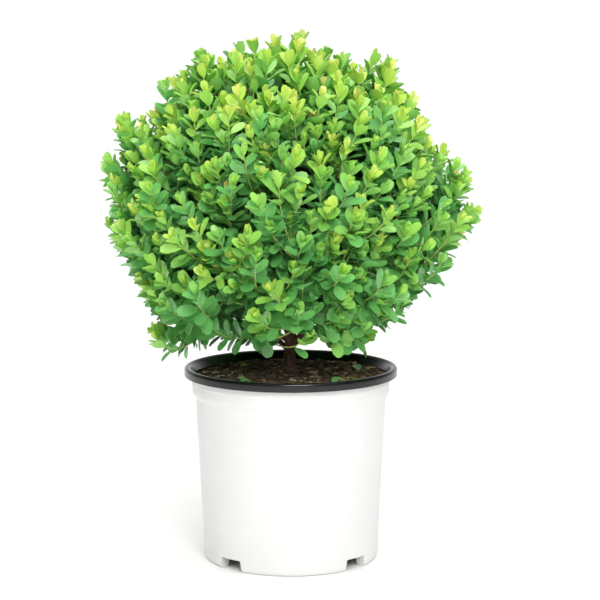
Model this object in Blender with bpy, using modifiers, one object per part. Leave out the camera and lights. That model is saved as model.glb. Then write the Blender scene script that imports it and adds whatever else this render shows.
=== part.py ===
"""A young boxwood bush in a white nursery pot, modelled in metres with +Z up.

The origin is on the ground under the middle of the pot. The front of the bush faces -Y.
An azimuth is measured from the front, towards +X, and an elevation from the horizontal.
"""

import math
import random

import bmesh
import bpy
from mathutils import Matrix, Vector

MM = 0.001
GAP = 0.3 * MM
GOLDEN_ANGLE = math.pi * (3 - math.sqrt(5))
UP = Vector((0, 0, 1))
FRONT = Vector((0, -1, 0))
SEED = 41

# Pot: a thermoformed pail of two-layer sheet, white outside and black inside.
# The sheet is rolled outwards at the top, so that the black layer shows as the lip.
POT_HEIGHT = 208 * MM
POT_TURN = math.radians(2.5)
POT_SEGMENTS = 36
LIP_RADIUS = 114.6 * MM
LIP_HEIGHT = 9.4 * MM
LIP_WIDTH = 6 * MM
LIP_ROUND = 1.2 * MM
LIP_CREST = 0.6
LIP_SHOULDER = 2.5
COLLAR_RADIUS = 107 * MM
COLLAR_STEP = 0.8 * MM
COLLAR_STEP_Z = 191.5 * MM
COLLAR_FOOT_Z = 180.5 * MM
WALL_TOP_RADIUS = 102.4 * MM
WALL_TOP_Z = 175.5 * MM
WALL_FOOT_RADIUS = 94.6 * MM
WALL_FOOT_Z = 22 * MM
WHITE_THICKNESS = 1.3 * MM
BLACK_THICKNESS = 1.1 * MM
FLOOR_Z = 12 * MM
FLOOR_DRAFT = 0.6 * MM
SHOULDER_DROP = 0.4
FOOT_RADIUS = 92.5 * MM
FOOT_INNER_RADIUS = 83.5 * MM
FOOT_DRAFT = 1.5 * MM
FOOT_DRAFT_OUT = 0.5 * MM
FOOT_ROUND = 4 * MM
NOTCH_COUNT = 4
NOTCH_WIDTH = 33 * MM
NOTCH_TOP_WIDTH = 27 * MM
NOTCH_HEIGHT = 12.4 * MM
NOTCH_DEPTH = 24 * MM
DRAIN_RADIUS = 5 * MM
DRAIN_CIRCLE = 70 * MM
DRAIN_SIDES = 8

# Growing mix: bark and peat, a little domed, level where the stem stands on it.
SOIL_EDGE_Z = 197.5 * MM
SOIL_TOP_Z = 200.5 * MM
SOIL_LEVEL_RADIUS = 26 * MM
SOIL_SHOULDER = 0.7

# Trunk: one short stem with a root flare, from the soil to where the leader bough goes on.
TRUNK_FOOT = Vector((-2, 4, 0)) * MM
TRUNK_LEAN = Vector((3, -2, 0)) * MM
TRUNK_SWAY = Vector((2, -1.2, 0)) * MM
TRUNK_LENGTH = 102 * MM
TRUNK_RADIUS = 6.6 * MM
TRUNK_TIP_RADIUS = 4.2 * MM
TRUNK_SHARES = (0.0, 0.03, 0.07, 0.13, 0.25, 0.45, 0.65, 0.85, 1.0)
TRUNK_SIDES = 12
FLARE_RADIUS = 11.5 * MM
FLARE_FALL = 5.2 * MM

# Boughs: one tapering limb for each mass, from the trunk to where it enters the mass.
BOUGH_RADIUS = 3.1 * MM
BOUGH_TIP_RADIUS = 1.9 * MM
BOUGH_SIDES = 6
BOUGH_POINTS = 5
BOUGH_BOW = 0.10
BOUGH_SAG = 0.05
BOUGH_STOP = 44 * MM

# Crown: an ellipsoid, in masses that each keep to their own share of it.
CROWN_MIDDLE = Vector((-8, 0, 385)) * MM
CROWN_RADIUS = 184 * MM
CROWN_HEIGHT = 175 * MM
MASS_HEART = 0.60
SHARE_MARGIN = 1.2 * MM
LIMB_CLEARANCE = 1 * MM
LOWEST_LEAF_Z = 211 * MM

# Each mass: name, azimuth and elevation in degrees, fullness as a share of the crown's reach,
# and the height at which its bough leaves, as a share of the trunk.
MASSES = (
    ("mass_top", 30, 86, 1.00, None),
    ("mass_upper_front_left", -38, 43, 1.01, 0.86),
    ("mass_upper_front_right", 36, 41, 0.98, 0.70),
    ("mass_upper_right", 105, 40, 0.96, 0.80),
    ("mass_upper_back", 178, 42, 0.98, 0.73),
    ("mass_upper_left", -108, 41, 1.02, 0.76),
    ("mass_front_left", -29, 0, 1.00, 0.56),
    ("mass_front_right", 30, -2, 1.02, 0.44),
    ("mass_right", 88, 3, 1.01, 0.60),
    ("mass_back_right", 147, 0, 0.99, 0.46),
    ("mass_back_left", -152, 1, 1.00, 0.62),
    ("mass_left", -92, 2, 1.00, 0.42),
    ("mass_low_front", 2, -43, 1.00, 0.20),
    ("mass_low_front_right", 61, -40, 0.98, 0.30),
    ("mass_low_back_right", 118, -41, 1.00, 0.24),
    ("mass_low_back_left", -172, -41, 1.00, 0.28),
    ("mass_low_left", -121, -40, 1.00, 0.22),
    ("mass_low_front_left", -60, -41, 1.00, 0.32),
)

# Shoots that stand out of the outline: azimuth and elevation in degrees, and how far from the
# crown's middle their leaves end.
LEADERS = (
    (88, -4, 214 * MM),
    (82, 9, 200 * MM),
    (88, 51, 190 * MM),
    (-80, 60, 184 * MM),
    (-90, 26, 200 * MM),
    (-84, 8, 196 * MM),
    (-78, -45, 204 * MM),
)

# Twigs end evenly spread over the crown, and bear crossed pairs of leaves.
TWIG_COUNT = 84
TWIG_SPREAD = (0.97, 1.04)
TWIG_DRIFT = 0.08
TWIG_RADIUS = 1.5 * MM
TWIG_TIP_RADIUS = 0.9 * MM
TWIG_SIDES = 3
TWIG_POINTS = 3
TWIG_RISE = 0.45
TWIG_PULL = (0.38, 0.48)
TWIG_START = 0.95
TWIG_STEP_BACK = 0.6
STEM_POINTS = 3
STEM_START = 3 * MM
STEM_PULL = 0.4
STEM_RADIUS = 0.95 * BOUGH_TIP_RADIUS
STEM_TIP_RADIUS = 0.75 * BOUGH_TIP_RADIUS
TEST_STEPS = 8

# Each pair of leaves: distance back from the tip, and how far the leaves open from the twig.
LEAF_PAIRS = (
    (1 * MM, math.radians(32)),
    (12 * MM, math.radians(58)),
    (25 * MM, math.radians(76)),
)
PAIR_TURNS = 6
LEAF_LENGTH = 42 * MM
LEAF_WIDTH = 25 * MM
LEAF_THICKNESS = 2.2 * MM
LEAF_MIDRIB = 0.5
LEAF_BLUNTNESS = 0.6
LEAF_SIZES = (0.90, 1.08)
LEAF_SMALLER = 0.72
LEAF_STRAY = 0.12

# Core: the dense middle of each mass, smaller than the mass, that the leaves stand out of.
CORE_RADIUS = 44 * MM
CORE_LUMPS = 0.12
CORE_SHARE = 0.68
CORE_CLEARANCE = 4 * MM
CORE_STEP = 1 * MM
CORE_FACE_ANGLE = math.radians(38)


def new_material(name, colour, roughness):
    """A Principled material with one colour, given in linear light."""
    material = bpy.data.materials.new(name)
    material.use_nodes = True
    shader = material.node_tree.nodes["Principled BSDF"]
    shader.inputs["Base Color"].default_value = (*colour, 1)
    shader.inputs["Roughness"].default_value = roughness
    shader.inputs["Metallic"].default_value = 0
    material.diffuse_color = (*colour, 1)
    return material


def new_collection(name):
    """A collection linked to the scene."""
    made = bpy.data.collections.new(name)
    bpy.context.scene.collection.children.link(made)
    return made


def add_object(name, data, collection, material=None):
    """An object for a mesh or curve, in a collection, with its material."""
    made = bpy.data.objects.new(name, data)
    collection.objects.link(made)
    if material:
        data.materials.append(material)
    return made


def as_helper(obj):
    """Marks a cutter or a guide, which is not part of the plant."""
    obj.hide_render = True
    obj.display_type = "WIRE"
    return obj


def heading(azimuth, elevation):
    """The unit direction at an azimuth from the front and an elevation, both in radians."""
    flat = math.cos(elevation)
    return Vector((math.sin(azimuth) * flat, -math.cos(azimuth) * flat, math.sin(elevation)))


def turned(name, profile, collection, material):
    """A solid of revolution about Z: the (radius, height) profile runs down its outer side."""
    mesh = bpy.data.meshes.new(name)
    points = [(radius, 0, height) for radius, height in profile]
    mesh.from_pydata(points, [(i, i + 1) for i in range(len(points) - 1)], [])
    obj = add_object(name, mesh, collection, material)
    screw = obj.modifiers.new("Turn", "SCREW")
    screw.steps = screw.render_steps = POT_SEGMENTS
    screw.use_merge_vertices = True
    screw.merge_threshold = 0.01 * MM
    return obj


def notch_cutter(name, azimuth, collection):
    """A block that narrows upwards, set across the foot ring, for cutting a drain notch."""
    mesh = bpy.data.meshes.new(name)
    shape = bmesh.new()
    bmesh.ops.create_cube(shape, size=1)
    for vert in shape.verts:
        width = NOTCH_TOP_WIDTH if vert.co.z > 0 else NOTCH_WIDTH
        height = NOTCH_HEIGHT if vert.co.z > 0 else -NOTCH_HEIGHT
        vert.co = Vector((vert.co.x * width, vert.co.y * NOTCH_DEPTH, height))
    shape.to_mesh(mesh)
    shape.free()
    cutter = as_helper(add_object(name, mesh, collection))
    middle = (FOOT_INNER_RADIUS + WALL_FOOT_RADIUS) / 2
    cutter.location = heading(azimuth, 0) * middle
    cutter.rotation_euler.z = azimuth
    return cutter


def drain_cutter(name, azimuth, collection):
    """An upright cylinder through the floor, for cutting a drain hole."""
    mesh = bpy.data.meshes.new(name)
    shape = bmesh.new()
    bmesh.ops.create_cone(
        shape, cap_ends=True, segments=DRAIN_SIDES, radius1=DRAIN_RADIUS, radius2=DRAIN_RADIUS, depth=FLOOR_Z
    )
    shape.to_mesh(mesh)
    shape.free()
    cutter = as_helper(add_object(name, mesh, collection))
    cutter.location = heading(azimuth, 0) * DRAIN_CIRCLE + UP * FLOOR_Z
    return cutter


def cut(obj, cutter):
    """Takes the cutter away from the object with a live modifier."""
    boolean = obj.modifiers.new(cutter.name, "BOOLEAN")
    boolean.operation = "DIFFERENCE"
    boolean.object = cutter


def inner_wall(inset):
    """The white layer's inside, moved in by inset: (radius, height) pairs from the floor up."""
    return [
        (0, FLOOR_Z + inset),
        (WALL_FOOT_RADIUS - inset - FLOOR_DRAFT, FLOOR_Z + inset),
        (WALL_FOOT_RADIUS - inset, WALL_FOOT_Z + FOOT_ROUND),
        (WALL_TOP_RADIUS - inset, WALL_TOP_Z - SHOULDER_DROP * inset),
        (COLLAR_RADIUS - COLLAR_STEP - inset, COLLAR_FOOT_Z - SHOULDER_DROP * inset),
    ]


def make_pot(collection, cutters):
    """The white body with its foot ring, notches and drain holes, and the black layer with the lip."""
    white = new_material("white_plastic", (0.86, 0.86, 0.85), 0.35)
    black = new_material("black_plastic", (0.012, 0.012, 0.014), 0.3)
    lip_foot = POT_HEIGHT - LIP_HEIGHT
    lip_crest = LIP_RADIUS - LIP_CREST * LIP_WIDTH
    collar_top = lip_foot - GAP
    inside = inner_wall(WHITE_THICKNESS)
    rim = [(inside[-1][0], collar_top), (COLLAR_RADIUS, collar_top)]
    body = turned("pot_body", [
        *rim,
        (COLLAR_RADIUS, COLLAR_STEP_Z),
        (COLLAR_RADIUS - COLLAR_STEP, COLLAR_STEP_Z - COLLAR_STEP),
        (COLLAR_RADIUS - COLLAR_STEP, COLLAR_FOOT_Z),
        (WALL_TOP_RADIUS, WALL_TOP_Z),
        (WALL_FOOT_RADIUS, WALL_FOOT_Z),
        (WALL_FOOT_RADIUS - FOOT_DRAFT_OUT, FOOT_ROUND),
        (FOOT_RADIUS, 0),
        (FOOT_INNER_RADIUS, 0),
        (FOOT_INNER_RADIUS - FOOT_DRAFT, FLOOR_Z),
        (0, FLOOR_Z),
        *inside,
        rim[0],
    ], collection, white)
    skin = inner_wall(WHITE_THICKNESS + GAP)
    face = inner_wall(WHITE_THICKNESS + GAP + BLACK_THICKNESS)
    lining = turned("pot_lining", [
        (lip_crest, POT_HEIGHT),
        (LIP_RADIUS - LIP_ROUND, POT_HEIGHT - LIP_ROUND),
        (LIP_RADIUS, POT_HEIGHT - LIP_SHOULDER * LIP_ROUND),
        (LIP_RADIUS, lip_foot + LIP_ROUND),
        (LIP_RADIUS - LIP_ROUND, lip_foot),
        (skin[-1][0], lip_foot),
        *reversed(skin),
        *face,
        (face[-1][0], lip_foot),
        (LIP_RADIUS - LIP_WIDTH, POT_HEIGHT - LIP_ROUND),
        (lip_crest, POT_HEIGHT),
    ], collection, black)
    for k in range(NOTCH_COUNT):
        azimuth = POT_TURN + math.pi / NOTCH_COUNT + k * 2 * math.pi / NOTCH_COUNT
        drain = drain_cutter(f"drain_cutter_{k}", azimuth, cutters)
        cut(body, notch_cutter(f"notch_cutter_{k}", azimuth, cutters))
        cut(body, drain)
        cut(lining, drain)


def make_soil(collection):
    """The growing mix, filling the pot up to a little below the lip."""
    bark = new_material("growing_mix", (0.06, 0.045, 0.03), 0.95)
    side = inner_wall(WHITE_THICKNESS + BLACK_THICKNESS + 2 * GAP)
    edge = side[-1][0]
    shoulder_z = (SOIL_TOP_Z + SOIL_EDGE_Z) / 2
    turned("growing_mix", [
        (0, SOIL_TOP_Z),
        (SOIL_LEVEL_RADIUS, SOIL_TOP_Z),
        (SOIL_SHOULDER * edge, shoulder_z),
        (edge, SOIL_EDGE_Z),
        *reversed(side),
    ], collection, bark)


def ring_section(sides, helpers):
    """A regular polygon of unit radius that limbs and twigs are swept with."""
    section = bpy.data.curves.new(f"section_{sides}", "CURVE")
    section.dimensions = "2D"
    spline = section.splines.new("POLY")
    spline.points.add(sides - 1)
    spline.use_cyclic_u = True
    for k, point in enumerate(spline.points):
        angle = -2 * math.pi * k / sides
        point.co = (math.cos(angle), math.sin(angle), 0, 1)
    return as_helper(add_object(section.name, section, helpers))


def limb(name, points, radii, section, collection, material=None):
    """A tapering limb swept along the points, as a closed mesh."""
    path = bpy.data.curves.new(name, "CURVE")
    path.dimensions = "3D"
    path.bevel_mode = "OBJECT"
    path.bevel_object = section
    path.use_fill_caps = True
    spline = path.splines.new("POLY")
    spline.points.add(len(points) - 1)
    for place, radius, point in zip(points, radii, spline.points):
        point.co = (*place, 1)
        point.radius = radius
    guide = add_object(name + "_guide", path, bpy.context.scene.collection)
    graph = bpy.context.evaluated_depsgraph_get()
    mesh = bpy.data.meshes.new_from_object(guide.evaluated_get(graph))
    bpy.data.objects.remove(guide)
    shape = bmesh.new()
    shape.from_mesh(mesh)
    bmesh.ops.remove_doubles(shape, verts=shape.verts, dist=0.001 * MM)
    bmesh.ops.recalc_face_normals(shape, faces=shape.faces)
    shape.to_mesh(mesh)
    shape.free()
    mesh.materials.clear()
    return add_object(name, mesh, collection, material)


def bend(start, handle, end, count):
    """Points of a quadratic curve from start to end that is pulled towards the handle."""
    shares = [k / (count - 1) for k in range(count)]
    return [start * (1 - t) ** 2 + handle * 2 * t * (1 - t) + end * t * t for t in shares]


def taper(first, last, count):
    """Radii that fall evenly from the first to the last."""
    return [first + (last - first) * k / (count - 1) for k in range(count)]


def trunk_line(share):
    """The trunk's centre at a share of its height: a lean, with a slight sway."""
    sway = TRUNK_SWAY * share * math.sin(share * math.pi)
    return TRUNK_FOOT + UP * (SOIL_TOP_Z + GAP + TRUNK_LENGTH * share) + TRUNK_LEAN * share + sway


def trunk_points(extra=0.0):
    """Centres and radii up the trunk: root flare at the soil, then an even taper to the tip."""
    points = [trunk_line(share) for share in TRUNK_SHARES]
    points[1].xy = points[0].xy
    radii = []
    for share in TRUNK_SHARES:
        flare = (FLARE_RADIUS - TRUNK_RADIUS) * math.exp(-share * TRUNK_LENGTH / FLARE_FALL)
        radii.append(TRUNK_RADIUS + (TRUNK_TIP_RADIUS - TRUNK_RADIUS) * share + flare + extra)
    return points, radii


def crown_reach(out):
    """Distance from the crown's middle to its outline along a unit direction."""
    return 1 / math.hypot(out.x / CROWN_RADIUS, out.y / CROWN_RADIUS, out.z / CROWN_HEIGHT)


def in_crown(point, share):
    """True if the point lies within a share of the crown's reach."""
    out = point - CROWN_MIDDLE
    return out.length < share * crown_reach(out.normalized())


class Mass:
    """One mass of foliage: its heart, which settles its share of the crown, and its bough."""

    def __init__(self, name, azimuth, elevation, fullness, leaves_at):
        self.name = name
        self.fullness = fullness
        self.out = heading(math.radians(azimuth), math.radians(elevation))
        self.heart = CROWN_MIDDLE + self.out * crown_reach(self.out) * MASS_HEART
        self.targets = []
        self.on_trunk_tip = leaves_at is None
        self.bough = self.bough_line(leaves_at)

    def bough_line(self, leaves_at):
        """Centres of the bough, from the trunk's centre line to where it enters the mass."""
        if self.on_trunk_tip:
            start = trunk_line(1.0) + UP * GAP
            return bend(start, start + UP * BOUGH_STOP, self.heart - UP * BOUGH_STOP, BOUGH_POINTS)
        start = trunk_line(leaves_at)
        tip = self.heart + (start - self.heart).normalized() * BOUGH_STOP
        flat = Vector((self.out.x, self.out.y, 0)).normalized()
        bow = (flat * BOUGH_BOW - UP * BOUGH_SAG) * (tip - start).length
        return bend(start, (start + tip) / 2 + bow, tip, BOUGH_POINTS)


def distance_to_line(point, a, b):
    """Distance from the point to the stretch a to b."""
    along = b - a
    share = max(0.0, min(1.0, (point - a).dot(along) / along.length_squared))
    return (point - a - along * share).length


class Crown:
    """The masses and limbs, with the tests that keep each mass to its own space."""

    def __init__(self):
        self.masses = [Mass(*row) for row in MASSES]
        self.limbs = [trunk_points()]
        for mass in self.masses:
            self.limbs.append((mass.bough, taper(BOUGH_RADIUS, BOUGH_TIP_RADIUS, BOUGH_POINTS)))

    def mass_at(self, point):
        """The mass in whose share of the crown the point lies."""
        return min(self.masses, key=lambda mass: (mass.heart - point).length_squared)

    def in_share(self, points, mass):
        """True if every point is in the mass's own share, clear of its borders and of the pot."""
        for other in self.masses:
            across = other.heart - mass.heart
            if other is mass:
                continue
            border = (other.heart + mass.heart) / 2 - across.normalized() * SHARE_MARGIN
            if any((point - border).dot(across) > 0 for point in points):
                return False
        return all(point.z > LOWEST_LEAF_Z for point in points)

    def clears_limbs(self, points):
        """True if every point is clear of the trunk and of every bough."""
        for centres, radii in self.limbs:
            for a, b, radius in zip(centres, centres[1:], radii):
                if any(distance_to_line(point, a, b) < radius + LIMB_CLEARANCE for point in points):
                    return False
        return True

    def fits(self, corners, mass):
        """True if a piece with few corners keeps to the mass's share, clear of the limbs."""
        middles = [(a + b) / 2 for k, a in enumerate(corners) for b in corners[:k]]
        return self.in_share(corners, mass) and self.clears_limbs(corners + middles)

    def room_to_limbs(self, heart, out):
        """How far a core may reach from its heart along a direction, staying clear of each limb
        that passes within a face's width of that direction."""
        room = CORE_RADIUS
        for centres, radii in self.limbs:
            for a, b, radius in zip(centres, centres[1:], radii):
                for step in range(TEST_STEPS):
                    away = a.lerp(b, (step + 0.5) / TEST_STEPS) - heart
                    if away.angle(out) < CORE_FACE_ANGLE:
                        room = min(room, away.length - radius - CORE_CLEARANCE)
        return room

    def share_out_tips(self):
        """Gives each mass the ends of its twigs: evenly over the crown by the golden angle, and
        at the leading shoots. A twig ends short of the outline by the reach of its last leaves."""
        draw = random.Random(SEED)
        short = LEAF_LENGTH * math.cos(LEAF_PAIRS[0][1]) - LEAF_PAIRS[0][0]
        for k in range(TWIG_COUNT):
            level = 1 - 2 * (k + 0.5) / TWIG_COUNT
            out = heading(k * GOLDEN_ANGLE + draw.uniform(-TWIG_DRIFT, TWIG_DRIFT), math.asin(level))
            reach = crown_reach(out) * draw.uniform(*TWIG_SPREAD)
            mass = self.mass_at(CROWN_MIDDLE + out * reach)
            mass.targets.append(CROWN_MIDDLE + out * (reach * mass.fullness - short))
        for azimuth, elevation, reach in LEADERS:
            out = heading(math.radians(azimuth), math.radians(elevation))
            self.mass_at(CROWN_MIDDLE + out * reach).targets.append(CROWN_MIDDLE + out * (reach - short))


def leaf_mesh():
    """A leaf lying along +X from its root: a low five-sided pyramid whose base is drawn out to a
    blunt blade that is widest beyond its middle. Its peak is the midrib, on the underside."""
    mesh = bpy.data.meshes.new("leaf")
    shape = bmesh.new()
    bmesh.ops.create_cone(shape, cap_ends=True, segments=5, radius1=1, radius2=0, depth=1)
    for vert in shape.verts:
        if vert.co.z > 0:
            vert.co = Vector((LEAF_MIDRIB * LEAF_LENGTH, 0, -LEAF_THICKNESS))
            continue
        around = math.atan2(vert.co.x, vert.co.y)
        along = ((1 - math.cos(around)) / 2) ** LEAF_BLUNTNESS
        vert.co = Vector((along * LEAF_LENGTH, -math.sin(around) * LEAF_WIDTH / 2, 0))
    shape.to_mesh(mesh)
    shape.free()
    return mesh


def leaf_frame(root, axis, across, opening, size):
    """Lays a leaf from its root, opened from the twig's axis towards across, facing the tip."""
    along = axis * math.cos(opening) + across * math.sin(opening)
    face = axis * math.sin(opening) - across * math.cos(opening)
    turn = Matrix((along, face.cross(along), face)).transposed().to_4x4()
    return Matrix.Translation(root) @ turn @ Matrix.Scale(size, 4)


def best_pair(crown, mass, leaf, root, axis, side, opening, draw):
    """The frames of a pair of leaves, turned about the twig until both fit, or as many as can.
    A leaf that does not fit is tried smaller before it is left out."""
    strays = [(opening + draw.uniform(-LEAF_STRAY, LEAF_STRAY), draw.uniform(*LEAF_SIZES)) for _ in range(2)]
    best = []
    for turn in range(PAIR_TURNS):
        across = Matrix.Rotation(turn * math.pi / PAIR_TURNS, 3, axis) @ side
        frames = []
        for way, (angle, size) in zip((across, -across), strays):
            for factor in (1, LEAF_SMALLER):
                frame = leaf_frame(root, axis, way, angle, size * factor)
                if crown.fits([frame @ vert.co for vert in leaf.vertices], mass):
                    frames.append(frame)
                    break
        if len(frames) > len(best):
            best = frames
        if len(best) == 2:
            break
    return best


def make_core(crown, mass, collection):
    """The dense middle of a mass: a ball about its heart, drawn in wherever it would come near
    the crown's outline, a neighbour's share or a limb."""
    draw = random.Random(f"{SEED} {mass.name} core")
    mesh = bpy.data.meshes.new(mass.name)
    shape = bmesh.new()
    bmesh.ops.create_icosphere(shape, subdivisions=2, radius=1)
    for vert in shape.verts:
        out = vert.co.normalized()
        radius = crown.room_to_limbs(mass.heart, out) * (1 - draw.uniform(0, CORE_LUMPS))
        point = mass.heart + out * (radius + CORE_CLEARANCE)
        while not (in_crown(point, CORE_SHARE) and crown.in_share([point], mass)):
            radius -= CORE_STEP
            point = mass.heart + out * (radius + CORE_CLEARANCE)
        vert.co = out * radius
    shape.to_mesh(mesh)
    shape.free()
    core = add_object(mass.name, mesh, collection)
    core.location = mass.heart
    return core


def stem_line(mass):
    """The stem of a mass: square on to its bough's tip, then on to the mass's heart."""
    aim = (mass.bough[-1] - mass.bough[-2]).normalized()
    foot = mass.bough[-1] + aim * GAP
    first = foot + aim * STEM_START
    handle = first + aim * (mass.heart - first).length * STEM_PULL
    return [foot] + bend(first, handle, mass.heart, STEM_POINTS)


def twig_line(mass, stem, target, draw):
    """A twig from the outer half of the stem, out along the mass and then up to its tip."""
    aside = (target - mass.heart).normalized().cross(mass.out).length
    start = stem[-2].lerp(stem[-1], TWIG_START - TWIG_STEP_BACK * aside)
    grows = ((target - CROWN_MIDDLE).normalized() + UP * TWIG_RISE).normalized()
    handle = target - grows * (target - start).length * draw.uniform(*TWIG_PULL)
    return bend(start, handle, target, TWIG_POINTS)


def add_twig(crown, mass, name, line, leaf, section, pieces, draw):
    """One twig with its leaves, left out if it would leave the mass's share or touch a limb."""
    along = [a.lerp(b, (k + 1) / TEST_STEPS) for a, b in zip(line, line[1:]) for k in range(TEST_STEPS)]
    if not (crown.in_share(along, mass) and crown.clears_limbs(along)):
        return
    limb(name, line, taper(TWIG_RADIUS, TWIG_TIP_RADIUS, TWIG_POINTS), section, pieces)
    axis = (line[-1] - line[-2]).normalized()
    side = axis.cross(UP if abs(axis.z) < 0.9 else FRONT).normalized()
    side = Matrix.Rotation(draw.uniform(0, math.pi / 2), 3, axis) @ side
    for number, (back, opening) in enumerate(LEAF_PAIRS):
        root = line[-1] - axis * back
        side = Matrix.Rotation(math.pi / 2, 3, axis) @ side
        for frame in best_pair(crown, mass, leaf, root, axis, side, opening, draw):
            blade = add_object(f"{name}_leaf_{number}", leaf, pieces)
            blade.matrix_world = frame


def keep_main_body(mesh):
    """Drops loose scraps and the walls of hollows that the union sealed, so one body is left."""
    shape = bmesh.new()
    shape.from_mesh(mesh)
    left = set(shape.verts)
    bodies = []
    while left:
        body, edge = set(), [left.pop()]
        while edge:
            vert = edge.pop()
            body.add(vert)
            near = {link.other_vert(vert) for link in vert.link_edges} & left
            left -= near
            edge.extend(near)
        bodies.append(body)
    main = max(bodies, key=len)
    bmesh.ops.delete(shape, geom=[vert for vert in shape.verts if vert not in main], context="VERTS")
    shape.to_mesh(mesh)
    shape.free()


def make_mass(crown, mass, leaf, sections, plant, foliage):
    """Fuses the core, the stem, the twigs and their leaves into one solid."""
    draw = random.Random(f"{SEED} {mass.name}")
    pieces = new_collection(mass.name + "_pieces")
    core = make_core(crown, mass, plant)
    stem = stem_line(mass)
    radii = taper(STEM_RADIUS, STEM_TIP_RADIUS, len(stem))
    limb(mass.name + "_stem", stem, radii, sections[BOUGH_SIDES], pieces)
    for number, target in enumerate(mass.targets):
        line = twig_line(mass, stem, target, draw)
        name = f"{mass.name}_twig_{number}"
        add_twig(crown, mass, name, line, leaf, sections[TWIG_SIDES], pieces, draw)
    union = core.modifiers.new("Fuse", "BOOLEAN")
    union.operation = "UNION"
    union.operand_type = "COLLECTION"
    union.collection = pieces
    union.solver = "MANIFOLD"
    graph = bpy.context.evaluated_depsgraph_get()
    fused = bpy.data.meshes.new_from_object(core.evaluated_get(graph))
    keep_main_body(fused)
    core.modifiers.clear()
    core.data = fused
    fused.materials.clear()
    fused.materials.append(foliage)
    for piece in list(pieces.objects):
        bpy.data.objects.remove(piece)
    bpy.data.collections.remove(pieces)


def make_plant(plant, cutters):
    """The trunk, one bough for each mass, and the masses of foliage."""
    bark = new_material("boxwood_bark", (0.16, 0.11, 0.07), 0.9)
    foliage = new_material("boxwood_foliage", (0.16, 0.42, 0.06), 0.4)
    sections = {sides: ring_section(sides, cutters) for sides in (TRUNK_SIDES, BOUGH_SIDES, TWIG_SIDES)}
    crown = Crown()
    crown.share_out_tips()
    limb("trunk", *trunk_points(), sections[TRUNK_SIDES], plant, bark)
    round_trunk = as_helper(limb("trunk_cutter", *trunk_points(GAP), sections[TRUNK_SIDES], cutters))
    for mass in crown.masses:
        name = mass.name.replace("mass", "bough")
        radii = taper(BOUGH_RADIUS, BOUGH_TIP_RADIUS, BOUGH_POINTS)
        bough = limb(name, mass.bough, radii, sections[BOUGH_SIDES], plant, bark)
        if not mass.on_trunk_tip:
            cut(bough, round_trunk)
    leaf = leaf_mesh()
    for mass in crown.masses:
        make_mass(crown, mass, leaf, sections, plant, foliage)


def main():
    for obj in list(bpy.data.objects):
        bpy.data.objects.remove(obj)
    plant = new_collection("potted_boxwood")
    cutters = new_collection("cutters")
    make_pot(plant, cutters)
    make_soil(plant)
    make_plant(plant, cutters)


main()
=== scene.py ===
import math
import random

import bpy
import numpy as np
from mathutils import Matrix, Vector


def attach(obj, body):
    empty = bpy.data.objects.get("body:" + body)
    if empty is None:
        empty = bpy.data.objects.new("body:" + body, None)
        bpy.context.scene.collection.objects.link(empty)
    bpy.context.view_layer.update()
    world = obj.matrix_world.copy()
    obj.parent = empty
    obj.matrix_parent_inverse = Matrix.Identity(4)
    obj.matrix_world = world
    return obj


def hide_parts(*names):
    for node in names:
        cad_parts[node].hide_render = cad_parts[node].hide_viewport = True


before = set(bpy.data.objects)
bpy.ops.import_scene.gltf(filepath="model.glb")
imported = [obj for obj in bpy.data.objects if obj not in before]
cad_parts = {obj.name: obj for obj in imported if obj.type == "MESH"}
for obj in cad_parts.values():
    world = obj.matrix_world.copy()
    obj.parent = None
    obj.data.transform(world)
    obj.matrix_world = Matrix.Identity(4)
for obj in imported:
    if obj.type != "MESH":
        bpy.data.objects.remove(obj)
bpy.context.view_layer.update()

# The camera stands about two metres in front of the plant, level with the top of its crown.
# It has a long lens and looks down by seven and a half degrees, as for a catalogue picture.
CAMERA_AT = (0.0099, -2.061, 0.551)
CAMERA_DOWN = math.radians(7.51)
FIELD_OF_VIEW = math.radians(17.61)

camera = bpy.data.objects.new("camera", bpy.data.cameras.new("camera"))
camera.data.sensor_width = 36
camera.data.angle = FIELD_OF_VIEW
camera.location = CAMERA_AT
camera.rotation_euler = (math.pi / 2 - CAMERA_DOWN, 0, 0)
bpy.context.scene.collection.objects.link(camera)
bpy.context.scene.camera = camera

# Studio light: a cloth tent with a broad soft box for its roof, dim walls and white at the floor's level.
# Grey cards at its sides darken the round pot towards its edges; the room behind the camera is dim, and
# a key lamp there lights the front.
SUBJECT = (0, 0, 0.32)
TENT_LIGHT = 2.6
TENT_BANDS = ((0.0, 0.41), (0.17, 0.40), (0.36, 0.11), (0.70, 0.11), (0.84, 1.0))
CARD_FROM = 0.45
CARD_LIGHT = 0.22
ROOM_TO = -0.25
SOFT_EDGE = "SMOOTHSTEP"
ROOM_LIGHT = 0.35
KEY_AT = (0.35, -2.4, 1.7)
KEY_SIDE = 1.2
KEY_WATTS = 47


def add_node(owner, kind, settings, links):
    """Adds a node: settings are its properties or its inputs' values, links the outputs that feed it."""
    node = owner.node_tree.nodes.new(kind)
    for key, value in settings.items():
        if isinstance(key, str) and hasattr(node, key):
            setattr(node, key, value)
        else:
            node.inputs[key].default_value = value
    for key, source in links.items():
        owner.node_tree.links.new(source, node.inputs[key])
    return node


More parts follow.
